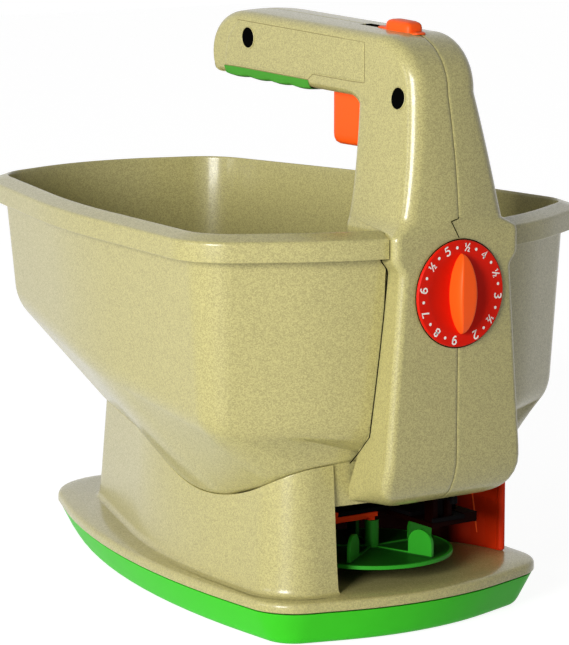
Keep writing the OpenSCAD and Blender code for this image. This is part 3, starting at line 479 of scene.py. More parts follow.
# %% [markdown]
# ## Discharge chamber
# Above the opening a strip of wall closes the gap beside the front cover. The deflector ends in a round
# bead, which stiffens the real moulding, and has one fine leaning rib. Bead and rib are small grids set on
# the scroll of the deflector, so they follow it wherever it lies.

# %% Chamber trim
COVER_FOOT, LINTEL_Z, AXIS_Y = 76.8, 74.6, -107.0
p = part_of(ring(FOOT, -6.4, 24), (0, -51.0, -1), (0, -30.0, -1), 12)
up = np.linspace(0, 1, 6)[:, None]
rise = LINTEL_Z + up * (fold_z(p[:, 1]) + 2 - LINTEL_Z)
strip = np.stack(np.broadcast_arrays(p[:, 0], p[:, 1], rise), -1)
piece("lintel_strip", strip, champagne)


def upright(centre, r, z0, z1, n=24):
    """A round bar standing at a place: rows at both ends, with rounded-off tops."""
    a = np.linspace(0, 2 * np.pi, n, endpoint=False)
    levels = np.array([(z0, 0.6), (z0 + 0.4 * r, 1), (z1 - 0.4 * r, 1), (z1, 0.6)])
    wide = r * levels[:, 1:]
    x, y = centre[0] + wide * np.cos(a), centre[1] + wide * np.sin(a)
    return np.stack(np.broadcast_arrays(x, y, levels[:, :1]), -1)


def scroll_place(t, grow):
    """Place on the inner face of the deflector, t from its back to its front edge."""
    angle, r = math.radians(165 - 174 * t), 52 + 30.5 * t * t + grow
    return r * math.cos(angle), AXIS_Y + r * math.sin(angle)


BEAD_TOP, RIB_TOP = 69.5, 62.0
piece("deflector_bead", upright(scroll_place(1.0, 1.7), 2.3, PLATFORM_Z + 0.2, BEAD_TOP), chute,
      close_cols=True, caps=(True, True))
rib = upright((0, 0), 0.6, PLATFORM_Z + 8, RIB_TOP)
lean = (rib[..., 2:] - rib[0, 0, 2]) / (RIB_TOP - rib[0, 0, 2])
rib[..., :2] += np.array(scroll_place(0.935, 0.2)) * (1 - lean) + np.array(scroll_place(0.918, 0.2)) * lean
piece("deflector_rib", rib, orange, close_cols=True, caps=(True, True))
print("chamber trim", strip.shape)

# %% [markdown]
# ## Hopper
# The hopper is a thin bin with a bend in its wall and a turned-out lip. It could be modelled as a sheet
# with a Solidify modifier, but the lip would be too thick. So one closed profile, up the outside, over
# the lip and down the inside, is carried round the outline, which stays open behind the post.

# %% Hopper skin
def rim(grow, z):
    return at(ring(RIM, grow, gap=POST_W), z)


def bend(grow, dz):
    p = ring(RIM, grow - 4, gap=POST_W)
    return at(p, break_z(p[:, 1]) + dz)


def fold(grow, dz):
    p = ring(FOOT, grow - 5, gap=POST_W)
    return at(p, fold_z(p[:, 1]) + dz)


def outlet(grow, z):
    """Open curve from the tower round the outlet to the tower, with as many points as the other rings."""
    half = np.array([[36, -74], [18, -70], [18, -62.5], [15.5, -61]])
    half = half + grow * np.array([[0, 0], [1, 0], [1, 0.5], [0.5, 1]])
    keys = np.vstack([half, half[::-1] * [-1, 1]])
    s = np.linspace(0, 1, len(ring(RIM, 0, gap=POST_W)))
    cuts = [0, 0.14, 0.3, 0.42, 0.58, 0.7, 0.86, 1]
    return at(np.column_stack([np.interp(s, cuts, keys[:, k]) for k in (0, 1)]), z)


bin_rows = rounded(
    [outlet(WALL, NECK_Z), fold(0, 0), bend(0, 0), rim(2.5, LIP_TOP - WALL),
     rim(LIP_W - WALL, LIP_TOP - WALL), rim(LIP_W - WALL, LIP_LOW), rim(LIP_W, LIP_LOW), rim(LIP_W, LIP_TOP),
     rim(0.8, RIM_Z), rim(0, RIM_Z - 0.8), bend(-WALL, 0.6), fold(-WALL, 3.2), outlet(0, NECK_Z + 3.2)],
    [0, 4, 9, 1.5, 1, 0.5, 0.7, 1.6, 1.6, 1.2, 9, 9, 0], n=8)
piece("hopper_skin", bin_rows, champagne, nodes=["hopper"], close_rows=True)
print("hopper", bin_rows.shape)

# %% [markdown]
# ## Tower
# Behind the post the hopper rises as a narrow tower that covers the motor and takes the foot of the post.
# It could be a box cut by booleans. A U of three walls at each height is simpler: the back wall steps in
# along a slope, and the corners get rounder toward the top.

# %% Tower inside the hopper
def tower(shrink):
    """A U of side wall, back wall and side wall at each height; the back steps in along a slope."""
    z = np.r_[np.linspace(70, 100, 8), np.linspace(101, 138, 16), np.linspace(139, 226, 9),
              np.linspace(228, 233.2, 4)]
    back = np.interp(z, [70, 100, 137, 229], [HOOD_Y + WALL, HOOD_Y + WALL, POST_BACK, POST_BACK]) - shrink
    front = np.interp(z, [70, 76, 79, 100, 125, 226], [-100, -100, -148, -148, -158, -163])
    w = np.interp(z, [229, 233.2], [POST_W, POST_W - 1.6])[:, None] - shrink
    r = np.interp(z, [200, 229], [4.0, 7.0])[:, None] - shrink
    a = np.linspace(0, np.pi / 2, 7)
    corner_x, corner_y = w - r + r * np.cos(a), r * np.sin(a) - r
    x = np.hstack([w, corner_x, -corner_x[:, ::-1], -w])
    dy = np.hstack([0 * w, corner_y, corner_y[:, ::-1], 0 * w])
    rows = np.zeros((*x.shape, 3))
    rows[..., 0] = x
    rows[..., 1] = back[:, None] + dy
    rows[:, [0, -1], 1] = front[:, None]
    rows[..., 2] = z[:, None]
    return rows


outer, inner = tower(0), tower(WALL)
piece("tower_skin", np.concatenate([outer, inner[::-1]]), champagne,
      close_rows=True)
print("tower", outer.shape)

# %% [markdown]
# ## Housing: stations
# Handle and post are one tube in two halves that bends back over the hopper. A curve with a bevel object
# could sweep it, but the section changes on the way. So the path is a list of stations, each with an
# outer and an inner place, a half width and two corner radii.

# %% Housing stations
FRONT, LOW = -185.0, 302.0
END_Y, END_L, END_Z, CROWN, HALF_W = -9.0, 33.0, 310.0, 1.3, 22.5


def top_z(y):
    """Height of the top of the handle, falling toward the front."""
    return 338.4 + 0.038 * np.clip(y, -160, 0)


def low_z(y):
    """Height of the underside of the handle, falling toward the front."""
    return 297 + 3.5 * np.clip((y + 114) / 110, 0, 1)


def stations():
    """Rows above the lip: outer y and z, inner y and z, half width, outer radius, inner radius."""
    t = np.r_[0.06, np.linspace(0.12, 0.55, 7), np.linspace(0.62, 1, 6)]
    z = 229 + 73 * t
    post = [FRONT + 10.5 * t ** 1.6, z, POST_BACK + 7 * t ** 1.5, z - 9 * t * t, 36 - 13.5 * t ** 0.75,
            7 + 2 * t, 0 * t + 7]
    t = np.r_[np.linspace(0.1, 0.9, 9), 0.925, 0.96]
    a = np.pi / 2 * t
    curve = [-174.5 + 34.5 * (1 - np.cos(a)), LOW + (top_z(-140) - LOW) * np.sin(a),
             -120 + 2 * t + 4 * t * t, 293 + 4 * t, 0 * t + HALF_W, 9 - 3 * t, 7 - 2 * t]
    t = np.r_[0.02, 0.09, 0.17, 0.256, 0.269, np.linspace(0.34, 0.78, 8)]
    y0, y1 = -140 + 160 * t, -114 + 127 * t
    handle = [y0, top_z(y0), y1, low_z(y1), 0 * t + HALF_W, 0 * t + 6, 0 * t + 5]
    t = np.linspace(0.08, 1, 14)
    c, s = np.cos(np.pi / 2 * t) ** 0.76, np.sin(np.pi / 2 * t) ** 0.9
    end = [END_Y + END_L * s, END_Z + (top_z(END_Y) - END_Z) * c, END_Y - 3 + 27 * s, low_z(0) + 0.5 * t,
           0 * t + HALF_W, 6 + 4 * t ** 3, 5 - t]
    t = np.array([0.3, 0.55, 0.75, 0.9])
    close = [END_Y + END_L - 11 * t ** 2.2, END_Z - 8.6 * t, END_Y + 24 - 2 * t, 301 + 0 * t,
             HALF_W - 5 * t ** 2, 7 - 5 * t, 4 - 3 * t]
    return np.concatenate([np.array(part).T for part in (post, curve, handle, end, close)])


print("stations", stations().shape)

# %% [markdown]
# ## Housing: section
# Each half has a D-shaped section with a flat side, a softly crowned back and a seam edge that turns in,
# which leaves the fine dark groove down the middle of the real handle. All sections are computed at once
# from the stations, so that the grid lines run along the handle.

# %% Handle section
ACROSS = np.array([0.5, 2.2, 4.0, 7.0, 10.5])
ARC_OUT, ARC_IN = np.linspace(0, np.pi / 2, 10), np.linspace(0, np.pi / 2, 8)


def section(st):
    """Half outline of each station, from the outer seam round the side to the inner seam."""
    oy, oz, iy, iz, w, ro, ri = (c[:, None] for c in st.T)
    d = np.hypot(iy - oy, iz - oz)
    one = np.ones_like(d)
    depth = np.hstack([one * [1.3, 0.2], one * 0 * ACROSS, ro - ro * np.cos(ARC_OUT),
                       ro + (d - ro - ri) * np.linspace(0.15, 0.85, 6), d - ri + ri * np.sin(ARC_IN),
                       d + 0 * ACROSS, d - one * [0.2, 1.3]])
    half = np.hstack([one * [0.12, 0.2], one * ACROSS, w - ro + ro * np.sin(ARC_OUT),
                      w + 0 * np.linspace(0, 1, 6), w - ri + ri * np.cos(ARC_IN), one * ACROSS[::-1],
                      one * [0.2, 0.12]])
    depth = depth + CROWN * (half / HALF_W) ** 2 * np.clip(1 - depth / 12, 0, 1)
    return np.stack([half, oy + (iy - oy) / d * depth, oz + (iz - oz) / d * depth], -1)


print("columns of a section", section(stations()[:1]).shape[1])

# %% [markdown]
# ## Housing: front cover
# Below the lip the housing widens into a cover over the drive, with a collar where it crosses the lip and
# rounded lower corners. It has as many columns as the handle section, which lets one unbroken grid run
# from the foot of the cover to the end of the handle.

# %% Front cover
UNDER_LIP, LIP_MID, COVER_R = 208.4, 220.9, 4.5


def collar(z):
    """1 at the lip, easing to 0 within 9 mm above and below it."""
    return ease((5.5 + 9 - abs(z - LIP_MID)) / 9)


def side_half(z):
    """Half width of the front cover at its front edge."""
    return 36.6 + 11 * np.clip((LIP_LOW - z) / (LIP_LOW - COVER_FOOT), 0, None) + 5.5 * collar(z)


def side_taper(z):
    """How far the side of the cover draws in toward the back."""
    return 3.2 + 2.5 * np.clip((UNDER_LIP - z) / (UNDER_LIP - COVER_FOOT), 0, None)


def cover_back(z):
    """Where the side of the cover ends toward the back, below the lip."""
    return FRONT + 19.5 + 27 * np.clip((UNDER_LIP - z) / (UNDER_LIP - COVER_FOOT), 0, None) ** 2


def cover(z):
    """Open half outline of the front cover at heights z, as many columns as a section."""
    s = 9 - np.sqrt(np.clip(81 - np.clip(9 - (z - COVER_FOOT), 0, 9) ** 2, 0, None))
    f = FRONT + 12 * np.clip((COVER_FOOT + 28 - z) / 28, 0, None) ** 2 + s
    wide = side_half(z)
    w = wide - 20 + np.sqrt(400 - np.clip(COVER_FOOT + 20 - z, 0, 20) ** 2)
    b = np.where(z > UNDER_LIP, FRONT + 19.5 - 9 * ease((7.5 - abs(z - LIP_MID)) / 2), cover_back(z))
    taper = (w - wide + side_taper(z))[:, None]
    f, w, b, r = f[:, None], w[:, None], b[:, None], COVER_R
    rest = len(section(stations()[:1])[0]) - 2 - len(ACROSS) - len(ARC_OUT)
    one = np.ones_like(f)
    share = np.arange(1, rest + 1) / rest
    half = np.hstack([one * [0.12, 0.2], one * ACROSS, w - r + r * np.sin(ARC_OUT), w - taper * share])
    y = np.hstack([f + [1.3, 0.2], f + 0 * ACROSS, f + r - r * np.cos(ARC_OUT), f + r + (b - f - r) * share])
    return np.stack([half, y, np.broadcast_to(z[:, None], y.shape)], -1)


COVER_Z = np.r_[COVER_FOOT + 9 * (1 - np.cos(np.linspace(0, np.pi / 2, 7))), np.linspace(90, 205, 24),
                np.linspace(206.4, 235.4, 14)[:-3]]
UPPER = stations()
shell = np.concatenate([cover(COVER_Z), section(UPPER)])
floor = shell[:1] * [0.02, 1, 1]
floor[..., 1] = np.clip(floor[..., 1], -172, -150)
shell = np.concatenate([floor, shell])
print("housing", shell.shape)

# %% [markdown]
# ## Gap beside the cover
# On the real object a narrow gap runs down both sides of the cover and past the end of the lip. Modelling
# the gap would need a second wall inside it. A black ribbon on the hopper, placed where the side of the
# cover meets the wall, gives the same line.

# %% Gap beside the cover
def hopper_front(x, z):
    """Front of the hopper wall at a place: arcs of the rim above the bend and a ruled slope below it."""
    high = 2.4 - np.sqrt((168 + 6.5 * np.clip((z - 116) / 108, 0, 1)) ** 2 - x * x)
    low = 48 - np.sqrt(195 ** 2 - x * x)
    bottom = fold_z(low)
    return np.where(z > 116, high, low + (high - low) * (z - bottom) / (116 - bottom))


def cover_side(y, z, back):
    """Half width of the front cover at a place on its side, whose back edge lies at y = back."""
    start = FRONT + COVER_R
    return side_half(z) - side_taper(z) * np.clip((y - start) / (back - start), 0, 1)


z, k = np.meshgrid(np.linspace(98, 214.5, 60), [-0.2, 0.8], indexing="ij")
x = cover_side(hopper_front(side_half(z) - 2, z), z, cover_back(z)) + k
gap = np.stack([x, hopper_front(x, z) - 0.4, z], -1)
piece("cover_gap_right", gap, black, flip=True)
piece("cover_gap_left", gap * [-1, 1, 1], black)
z, k = np.meshgrid(np.linspace(LIP_LOW, LIP_TOP - 0.4, 8), [-0.2, 0.7], indexing="ij")
x = cover_side(-175.9, z, FRONT + 10.5) + k
gap = np.stack([x, 2.4 - np.sqrt(183.2 ** 2 - x * x) - 0.25, z], -1)
piece("lip_gap_right", gap, black, flip=True)
piece("lip_gap_left", gap * [-1, 1, 1], black)
print("gap lines", gap.shape)

# %% [markdown]
# ## Housing: skins
# The two halves are mirror images. The slot of the lock slider and the mouth of the trigger are openings
# in them. Because both run along grid lines, their faces are simply left out, which keeps the edges
# straight without a boolean.

# %% Housing skins
rows, cols = shell.shape[:2]
keep = np.ones((rows - 1, cols - 1), bool)
first = rows - len(UPPER)
slot_rows = first + np.flatnonzero((UPPER[:, 0] >= -144.2) & (UPPER[:, 0] <= -98.9) & (UPPER[:, 1] > 320))
mouth_rows = first + np.flatnonzero((UPPER[:, 3] >= 267) & (UPPER[:, 2] <= -79.3))
keep[slot_rows.min():slot_rows.max(), :4] = False
keep[mouth_rows.min():mouth_rows.max(), cols - 1 - 6:] = False
piece("left_skin", shell * [-1, 1, 1], champagne, nodes=["left_housing"],
      caps=(False, True), keep=keep, flip=True, smooth=50)
piece("right_skin", shell, champagne, nodes=["right_housing"],
      caps=(False, True), keep=keep, smooth=50)
print("housing skins", keep.size - keep.sum(), "faces left out")

# %% [markdown]
# ## Battery panel
# The left side of the handle has an inset panel over the cells, held by one screw. It could be cut into
# the housing. A thin sheet that stands a fifth of a millimetre proud, with its edges dipping into the
# side, is lighter and catches the light as the real edge does.

# %% Battery panel
def side_x(y, z):
    """Half width of the handle at a place on its side."""
    up = np.clip(z - (top_z(y) - 7), 0, 5.9)
    return 16.5 + np.sqrt(36 - up ** 2)


def side_place(y, z, out):
    """Place on the left side of the handle, a little outside it."""
    return np.stack([-side_x(y, z) - out, y, z], -1)


PANEL_Y = (-129.0, 8.0)


def panel_low(y):
    """Height of the lower panel edge above the underside: it drops where the grip starts."""
    return np.interp(y, [-80, -76], [8.5, 5.0])


u, v = np.meshgrid(np.linspace(0, 1, 110), np.linspace(0, 1, 36))
last = PANEL_Y[1] - 15 * v ** 3
y = PANEL_Y[0] + u * (last - PANEL_Y[0])
lo, hi = low_z(y) + panel_low(y), top_z(y) - 6.2
edge = np.minimum(np.minimum(y - PANEL_Y[0], last - y), np.minimum(v, 1 - v) * (hi - lo))
panel = side_place(y, lo + v * (hi - lo), np.interp(edge, [0, 0.4, 1.4], [-0.3, 0.08, 0.22]))
piece("panel_skin", panel, champagne, nodes=["battery_door"], flip=True)
print("panel", panel.shape)

# %% [markdown]
# ## Lines round the panel
# The parting line of the panel is seen as a fine shaded line. A bump pattern would follow the surface
# less closely at this size, so the line is a ribbon: a path on the side, widened by a normal in the plane
# of the side.

# %% Panel lines
def ribbon(points, width):
    """Two rows beside a path: points plus and minus half the width along the normal."""
    p = np.array(points, float)
    d = np.gradient(p, axis=0)
    d /= np.linalg.norm(d, axis=1, keepdims=True)
    n = np.column_stack([-d[:, 1], d[:, 0]]) * width / 2
    return np.stack([p + n, p - n])


y = np.linspace(*PANEL_Y, 60)
upper_y = y * 0.9 - 12.9
front_z = np.linspace(low_z(-129) + 8.3, top_z(-129) - 6, 60)
PANEL_LINES = {"panel_top_line": (upper_y, top_z(upper_y) - 6.0),
               "panel_low_line": (y, low_z(y) + panel_low(y) - 0.2),
               "panel_front_line": (0 * y - 129.1, front_z)}
for name, path in PANEL_LINES.items():
    line = ribbon(np.column_stack(path), 0.4)
    piece(name, side_place(line[..., 0], line[..., 1], 0.1), shade, flip=True)
print("panel lines", len(PANEL_LINES))

# %% [markdown]
# ## Screw recesses
# The screws sit deep in round recesses, dark with shade. Drilling them would break the grid of the housing.
# A black disc that follows the slope of the side, with a thin raised rim, is painted shade of the recess and
# is seen the same way from every side that shows it.

# %% Screw recesses
def recess(centre, r, half):
    """A dark disc on the left side as painted shade of a recess, whose half width is half(z): rows from the
    middle to the rim.
    """
    a, k = np.meshgrid(np.linspace(0, 2 * np.pi, 48, endpoint=False), [0.001, 0.3, 0.6, 0.8, 0.93, 1.0])
    z = centre[1] + r * k * np.sin(a)
    return np.stack([-half(z), centre[0] + r * k * np.cos(a), z], -1)


def rim_ring(centre, r, half):
    """A thin torus round a recess: a small circle carried round a large one."""
    a, b = np.meshgrid(np.linspace(0, 2 * np.pi, 48, endpoint=False),
                       np.linspace(0, 2 * np.pi, 10, endpoint=False))
    wide = r + 0.45 * np.cos(b)
    z = centre[1] + wide * np.sin(a)
    return np.stack([0.1 - half(z) - 0.35 * np.sin(b), centre[0] + wide * np.cos(a), z], -1)


def handle_half(z):
    """Just outside the flat side of the handle."""
    return 22.95 + 0 * z


def post_half(z):
    """Just outside the tapered side of the post."""
    return 22.6 + 13.5 - 13.5 * np.clip((z - 229) / 73, 0, 1) ** 0.75


# Each black disc is painted shade of a recess; its rim is champagne.
for name, node, centre, half in (("door_recess", "door_screw", (-16.5, 322.6), handle_half),
                                 ("post_recess", "housing_screws", (-160.0, 299.4), post_half)):
    piece(name, recess(centre, 6.0, half), black, nodes=[node], close_cols=True)
    piece(name + "_rim", rim_ring(centre, 6.2, half), champagne, close_rows=True,
          close_cols=True)
print("recesses follow the post and the handle")

# %% [markdown]
# ## Grip strip
# Under the handle lies a green strip with four bumps for the fingers. Sculpting could make it, but would
# not repeat. The bumps are a sine along the strip times an arch across it, so their number and depth stay
# easy to change.

# %% Grip strip
GRIP_Y, FINGERS = (-76.0, 8.0), 4
y, t = np.meshgrid(np.linspace(*GRIP_Y, 120), np.linspace(0, 1, 40), indexing="ij")
along = np.abs(np.sin(np.pi * (y - GRIP_Y[0]) / (GRIP_Y[1] - GRIP_Y[0]) * FINGERS)) ** 0.7
bump = along * np.sin(np.pi * np.clip((t - 0.12) / 0.76, 0, 1)) ** 0.5
x = np.interp(t, [0, 0.16, 0.5, 0.84, 1], [-23, -21, 0, 21, 23])
zz = low_z(y) + np.interp(t, [0, 0.1, 0.2, 0.8, 0.9, 1], [4.6, 1.2, -0.6, -0.6, 1.2, 4.6]) - 1.8 * bump
piece("grip_skin", np.stack([x, y, zz], -1), green_grip, nodes=["grip_insert"])
print("grip", y.shape)

# %% [markdown]
# ## Trigger and lock slider
# Both are moulded blocks with rounded edges that a finger pushes. A cube with a bevel could do.
# Superellipses stacked from the base to the top were chosen: one power sets how square the outline is,
# and the last levels draw in to round the edge. Each rides on its own body.

# %% Trigger and slider
def block(levels, place, power=0.4):
    """Superellipses |cos a|^power, |sin a|^power at levels of (half width, half length, height)."""
    a = np.linspace(0, 2 * np.pi, 64, endpoint=False)
    cx = np.sign(np.cos(a)) * np.abs(np.cos(a)) ** power
    cy = np.sign(np.sin(a)) * np.abs(np.sin(a)) ** power
    k = np.array(levels, float)
    return place(k[:, :1] * cx, k[:, 1:2] * cy, k[:, 2:] + 0 * a)


def trigger_place(x, y, h):
    """Across, along the finger, and down from the underside of the handle."""
    return np.stack([x, -103.6 + y, 301 - h], -1)


def slider_place(x, y, h):
    """Across, along and out of the sloping top of the handle."""
    return np.stack([x, -134.5 + y - 0.05 * h, 332.9 + 0.05 * y + h], -1)


trigger_levels = [(10, 22.8, 0), (10, 22.8, 28), (9.8, 22.5, 30.5), (9.0, 21.6, 32.6), (7.4, 19.8, 33.8),
                  (2, 10, 34.2)]
piece("trigger_skin", block(trigger_levels, trigger_place, 0.2), orange, body="trigger", nodes=["trigger"],
      close_cols=True, caps=(True, True), flip=True)
slider_levels = [(5.8, 11, 0), (5.8, 11, 2.6), (5.5, 10.6, 4.2), (4.8, 9.6, 5.3), (3.4, 7.6, 6.0),
                 (0.8, 3.4, 6.3)]
piece("slider_skin", block(slider_levels, slider_place), orange, body="slider", nodes=["lock_slider"],
      close_cols=True, caps=(True, True))
tail_levels = [(4.6, 18, -0.2), (4.6, 18, 0.5), (4.0, 17, 1.0)]
piece("slider_tail", block(tail_levels, lambda x, y, h: slider_place(x, y + 2, h)), orange, body="slider",
      close_cols=True, caps=(True, True))
print("trigger and slider")

# %% [markdown]
# ## Dial
# The dial is a turned moulding: a flat rim for the numbers and a dished middle, with a dark gap round it.
# The Spin tool could turn the profile. A grid of profile against angle is the same thing written down, and
# sits exactly on the axis of the joint.

# %% Dial body
DIAL_Z, DIAL_Y, RING_OUT = 194.6, -185.5, 1.8


def dial_place(u, v, out):
    """Place on the dial: u right, v up, out away from the housing."""
    return np.stack([u, DIAL_Y - out, DIAL_Z + v], -1)


def turned(profile, n=128):
    """A profile of (radius, out) turned about the dial axis."""
    p = np.array(profile, float)
    a = np.linspace(0, 2 * np.pi, n, endpoint=False)
    return dial_place(p[:, :1] * np.cos(a), p[:, :1] * np.sin(a), p[:, 1:] + 0 * a)


dial_face = turned([(28.8, 0), (29.2, 0.4), (29.2, 1.2), (28.6, RING_OUT), (22.2, RING_OUT), (21.2, 1.6),
                    (18, 0.9), (13, 0.2), (7, -0.1), (0.01, -0.2)])
piece("dial_face", dial_face, red, body="dial", nodes=["dial_knob"], close_cols=True)
piece("dial_gap", turned([(29.9, 0.42), (29.3, 0.42)]), black, close_cols=True)
print("dial", dial_face.shape)

# %% [markdown]
# ## Finger bar
# A bar across the dial gives two fingers a hold. It narrows to a point at both ends and has steep sides
# with a flat top. It could be a scaled sphere, but its sides would be too soft; a high power of the sine
# across the bar makes them steep.

# %% Finger bar
v, q = np.meshgrid(22 * np.sin(np.linspace(-np.pi / 2, np.pi / 2, 61)), np.linspace(-1, 1, 61))
swell = 1 - (v / 22) ** 2
bar = dial_place(np.sin(q * np.pi / 2) * 6.4 * swell ** 0.7, v,
                 -0.4 + (2.0 + 8.2 * swell ** 0.4) * (1 - np.abs(np.sin(q * np.pi / 2)) ** 12) ** 0.45)
piece("dial_bar", bar, orange, body="dial", flip=True)
print("finger bar", bar.shape)

# %% [markdown]
# ## Figures
# The rim carries plain numbers and halves with dots between. Text objects could make them, but need a
# font. Each figure is a short list of pen points in a unit box, drawn as one stroke.

# %% Strokes of the figures
STROKES = {
    "2": [(0, .78), (.08, .93), (.3, 1), (.52, .93), (.6, .74), (.5, .52), (0, 0), (.62, 0)],
    "3": [(.02, .9), (.25, 1), (.5, .93), (.57, .76), (.45, .58), (.25, .53), (.47, .48), (.6, .28),
          (.5, .07), (.25, 0), (0, .1)],
    "4": [(.45, 0), (.45, 1), (0, .3), (.62, .3)],
    "5": [(.56, 1), (.08, 1), (.05, .58), (.3, .64), (.54, .52), (.6, .3), (.5, .07), (.25, 0), (0, .1)],
    "6": [(.52, .95), (.3, 1), (.1, .8), (.02, .45), (.05, .15), (.25, 0), (.5, .08), (.6, .3),
          (.5, .52), (.28, .58), (.06, .42)],
    "7": [(0, 1), (.6, 1), (.2, 0)],
    "8": [(.3, .54), (.08, .66), (.08, .88), (.3, 1), (.52, .88), (.52, .66), (.3, .54), (.04, .38),
          (.04, .13), (.3, 0), (.56, .13), (.56, .38), (.3, .54)],
    "9": [(.08, .05), (.3, 0), (.5, .2), (.58, .55), (.55, .85), (.35, 1), (.1, .92), (0, .7),
          (.1, .48), (.32, .42), (.54, .58)],
    "1/": [(0, .85), (.14, 1), (.14, .5)],
    "/": [(.08, 0), (.72, 1)],
    "/2": [(.5, .42), (.62, .5), (.76, .4), (.5, 0), (.8, 0)],
}
MARKS = ". h . 4 . h . 3 . h . 2 9 . 8 . 7 . 6 . h . 5".split()
STEP = (360 - 33) / (len(MARKS) - 1)
MARK_R, TURN, PRINT_OUT, MARK_H = 25.5, -6.6, 0.15, 4.5
print("figures", sorted(STROKES))

# %% [markdown]
# ## Numbers on the dial
# The numbers are printed with their tops outward. Each stroke becomes a ribbon that is turned to its
# angle and laid just above the rim. As pieces on the dial's body they turn with it, which a painted
# texture would do only after unwrapping.

# %% Dial numbers
def mark(angle, points, size, width):
    """A stroke set on the dial rim at a clockwise angle from the top."""
    p = ribbon((np.array(points) - [0.32, 0.5]) * size, width)
    s, c = math.sin(math.radians(angle)), math.cos(math.radians(angle))
    v = p[..., 1] + MARK_R
    return dial_place(p[..., 0] * c + v * s, v * c - p[..., 0] * s, RING_OUT + PRINT_OUT + 0 * v)


def dot(angle, r):
    """A round dot on the dial rim."""
    a, k = np.meshgrid(np.linspace(0, 2 * np.pi, 20, endpoint=False), [0.01, 1.0])
    s, c = math.sin(math.radians(angle)), math.cos(math.radians(angle))
    u, v = MARK_R * s + r * k * np.cos(a), MARK_R * c + r * k * np.sin(a)
    return dial_place(u, v, RING_OUT + PRINT_OUT + 0 * a)


for i, kind in enumerate(MARKS):
    angle = TURN + (i * STEP if i < 12 else (i - len(MARKS)) * STEP)
    if kind == ".":
        piece(f"dot_{i:02d}", dot(angle, 0.85), white, body="dial", close_cols=True)
        continue
    keys, width = (("1/", "/", "/2"), 0.65) if kind == "h" else ((kind,), 0.9)
    for k, key in enumerate(keys):
        piece(f"mark_{i:02d}_{k}", mark(angle, STROKES[key], MARK_H, width), white, body="dial")
print("marks", len(MARKS))

# %% [markdown]
# ## Pointer
# Above the dial the seam steps round a small triangle that points at the number in use. A cut in both
# halves could form it. At this size it is only a fine line, so a patch closes the straight seam there,
# and a dark ribbon draws the step.

# %% Pointer line
corners = np.array([[-0.2, 41.5], [-0.9, 40.6], [-5.3, 39.5], [0.1, 30.2]])
s_line = np.linspace(0, 1, 40)
way = np.column_stack([np.interp(s_line, [0, 0.06, 0.34, 1], corners[:, k]) for k in (0, 1)])
pen = ribbon(way, 0.55)
x, z = np.meshgrid(np.linspace(-1.4, 1.4, 4), DIAL_Z + np.linspace(29.5, 41.3, 6))
piece("pointer_face", np.stack([x, 0 * x + FRONT - 0.05, z], -1), champagne,
      flip=True)
pen_points = np.stack([pen[..., 0], 0 * pen[..., 1] + FRONT - 0.12, DIAL_Z + pen[..., 1]], -1)
piece("pointer_line", pen_points, black)
print("pointer", pen_points.shape)

# %% [markdown]
# ## Camera
# The photo was taken with a long lens from the left front and a little above. The place and the lens were
# found by fitting edges of the object to the photo. Angles are turned into a rotation by aiming the
# camera along a direction, which avoids a tracking constraint.

# %% Camera
RAYS = ("Is Camera Ray", "Is Glossy Ray", "Is Transmission Ray")
scene = bpy.context.scene
cam = bpy.data.objects.new("camera", bpy.data.cameras.new("camera"))
scene.collection.objects.link(cam)
scene.camera = cam
cam.location = (-1.0547, -1.5378, 0.4713)
yaw, pitch = math.radians(34.8), math.radians(9.7)
look = Vector((math.sin(yaw) * math.cos(pitch), math.cos(yaw) * math.cos(pitch), -math.sin(pitch)))
cam.rotation_euler = look.to_track_quat("-Z", "Y").to_euler()
cam.data.sensor_width, cam.data.lens = 36.0, 3209.7 * 36 / 645
cam.data.clip_end = 50
print("lens", round(cam.data.lens, 1), "mm")

# %% [markdown]
# ## Floor
# The object stands on a pale floor that shows only its shadow. A shadow catcher could be used, but it
# needs compositing. Instead the floor mixes a plain surface with white light for the rays of the camera
# and of reflections, so that it fades into the white background.

# %% Floor
floor_mesh = bpy.data.meshes.new("floor")
FLOOR_HALF, FLOOR_Z = 4.0, -0.0005
floor_corners = [(x * FLOOR_HALF, y * FLOOR_HALF, FLOOR_Z) for x, y in ((-1, -1), (1, -1), (1, 1), (-1, 1))]
floor_mesh.from_pydata(floor_corners, [], [(0, 1, 2, 3)])
floor_mat = Mat("floor", (0.9, 0.9, 0.9), Roughness=0.6)
seen = sum((floor_mat.node("ShaderNodeLightPath", {}, out=kind) for kind in RAYS[1:]),
           floor_mat.node("ShaderNodeLightPath", {}, out=RAYS[0]))
glow = floor_mat.node("ShaderNodeEmission", {"Color": (1, 1, 1, 1), "Strength": 1.3})
plain = Val(floor_mat, floor_mat.shader.outputs[0])
both = floor_mat.node("ShaderNodeMixShader", {0: seen * 0.7, 1: plain, 2: glow})
floor_mat.put(floor_mat.tree.nodes["Material Output"].inputs["Surface"], both)
floor_mesh.materials.append(floor_mat.mat)
floor_obj = bpy.data.objects.new("floor", floor_mesh)
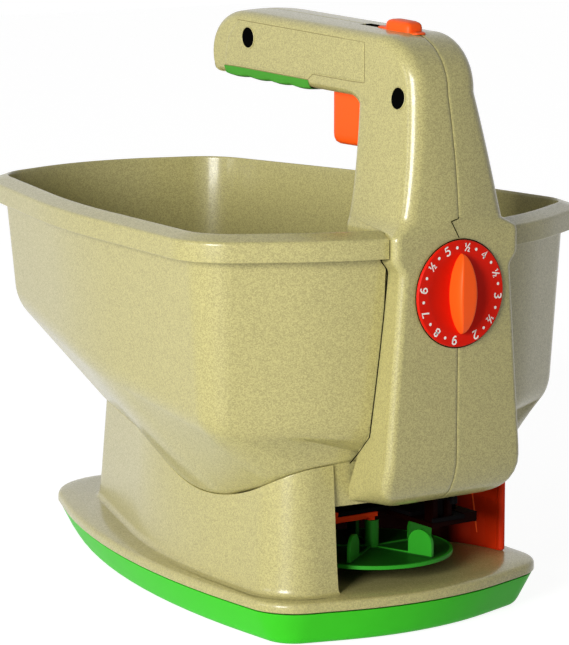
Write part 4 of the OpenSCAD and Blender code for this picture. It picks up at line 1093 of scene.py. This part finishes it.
scene.collection.objects.link(floor_obj)
print("floor", FLOOR_HALF * 2, "m wide")

# %% [markdown]
# ## Light
# The photo has one large soft light at the left and a weaker one behind it. Area lights do the same:
# their size sets how soft the shadows are. A low key light leaves the tops darker than the sides, as in
# the photo.

# %% Soft boxes
def soft_box(name, place, aim, size, power):
    """A square area light that looks at a point."""
    data = bpy.data.lights.new(name, "AREA")
    data.size, data.energy = size, power
    obj = bpy.data.objects.new(name, data)
    obj.location = place
    obj.rotation_euler = (Vector(aim) - Vector(place)).to_track_quat("-Z", "Y").to_euler()
    scene.collection.objects.link(obj)


soft_box("key", (-2.1, -1.12, 0.78), (0, 0, 0.15), 0.9, 65)
soft_box("side", (-2.4, 0.5, 0.6), (0, 0, 0.15), 0.7, 7)
print("lights", len(bpy.data.lights))

# %% [markdown]
# ## White surround
# The background is white, yet a white world would light the object flat from all sides. So the world
# shows white to the camera, to reflections and to light passing through, and gives only a dim fill
# otherwise.

# %% Surround
world = bpy.data.worlds.new("world")
scene.world = world
world.use_nodes = True
nodes, links = world.node_tree.nodes, world.node_tree.links
nodes.clear()
rays = nodes.new("ShaderNodeLightPath")
lit, shown = nodes.new("ShaderNodeBackground"), nodes.new("ShaderNodeBackground")
for node, strength in ((lit, 0.12), (shown, 1.0)):
    node.inputs["Color"].default_value = (1, 1, 1, 1)
    node.inputs["Strength"].default_value = strength
mix, end = nodes.new("ShaderNodeMixShader"), nodes.new("ShaderNodeOutputWorld")
first, second = nodes.new("ShaderNodeMath"), nodes.new("ShaderNodeMath")
for source, target in ((rays.outputs[RAYS[0]], first.inputs[0]), (rays.outputs[RAYS[1]], first.inputs[1]),
                       (first.outputs[0], second.inputs[0]), (rays.outputs[RAYS[2]], second.inputs[1]),
                       (second.outputs[0], mix.inputs["Fac"]), (lit.outputs[0], mix.inputs[1]),
                       (shown.outputs[0], mix.inputs[2]), (mix.outputs[0], end.inputs["Surface"])):
    links.new(source, target)
scene.view_settings.view_transform = "Standard"
print("studio ready")
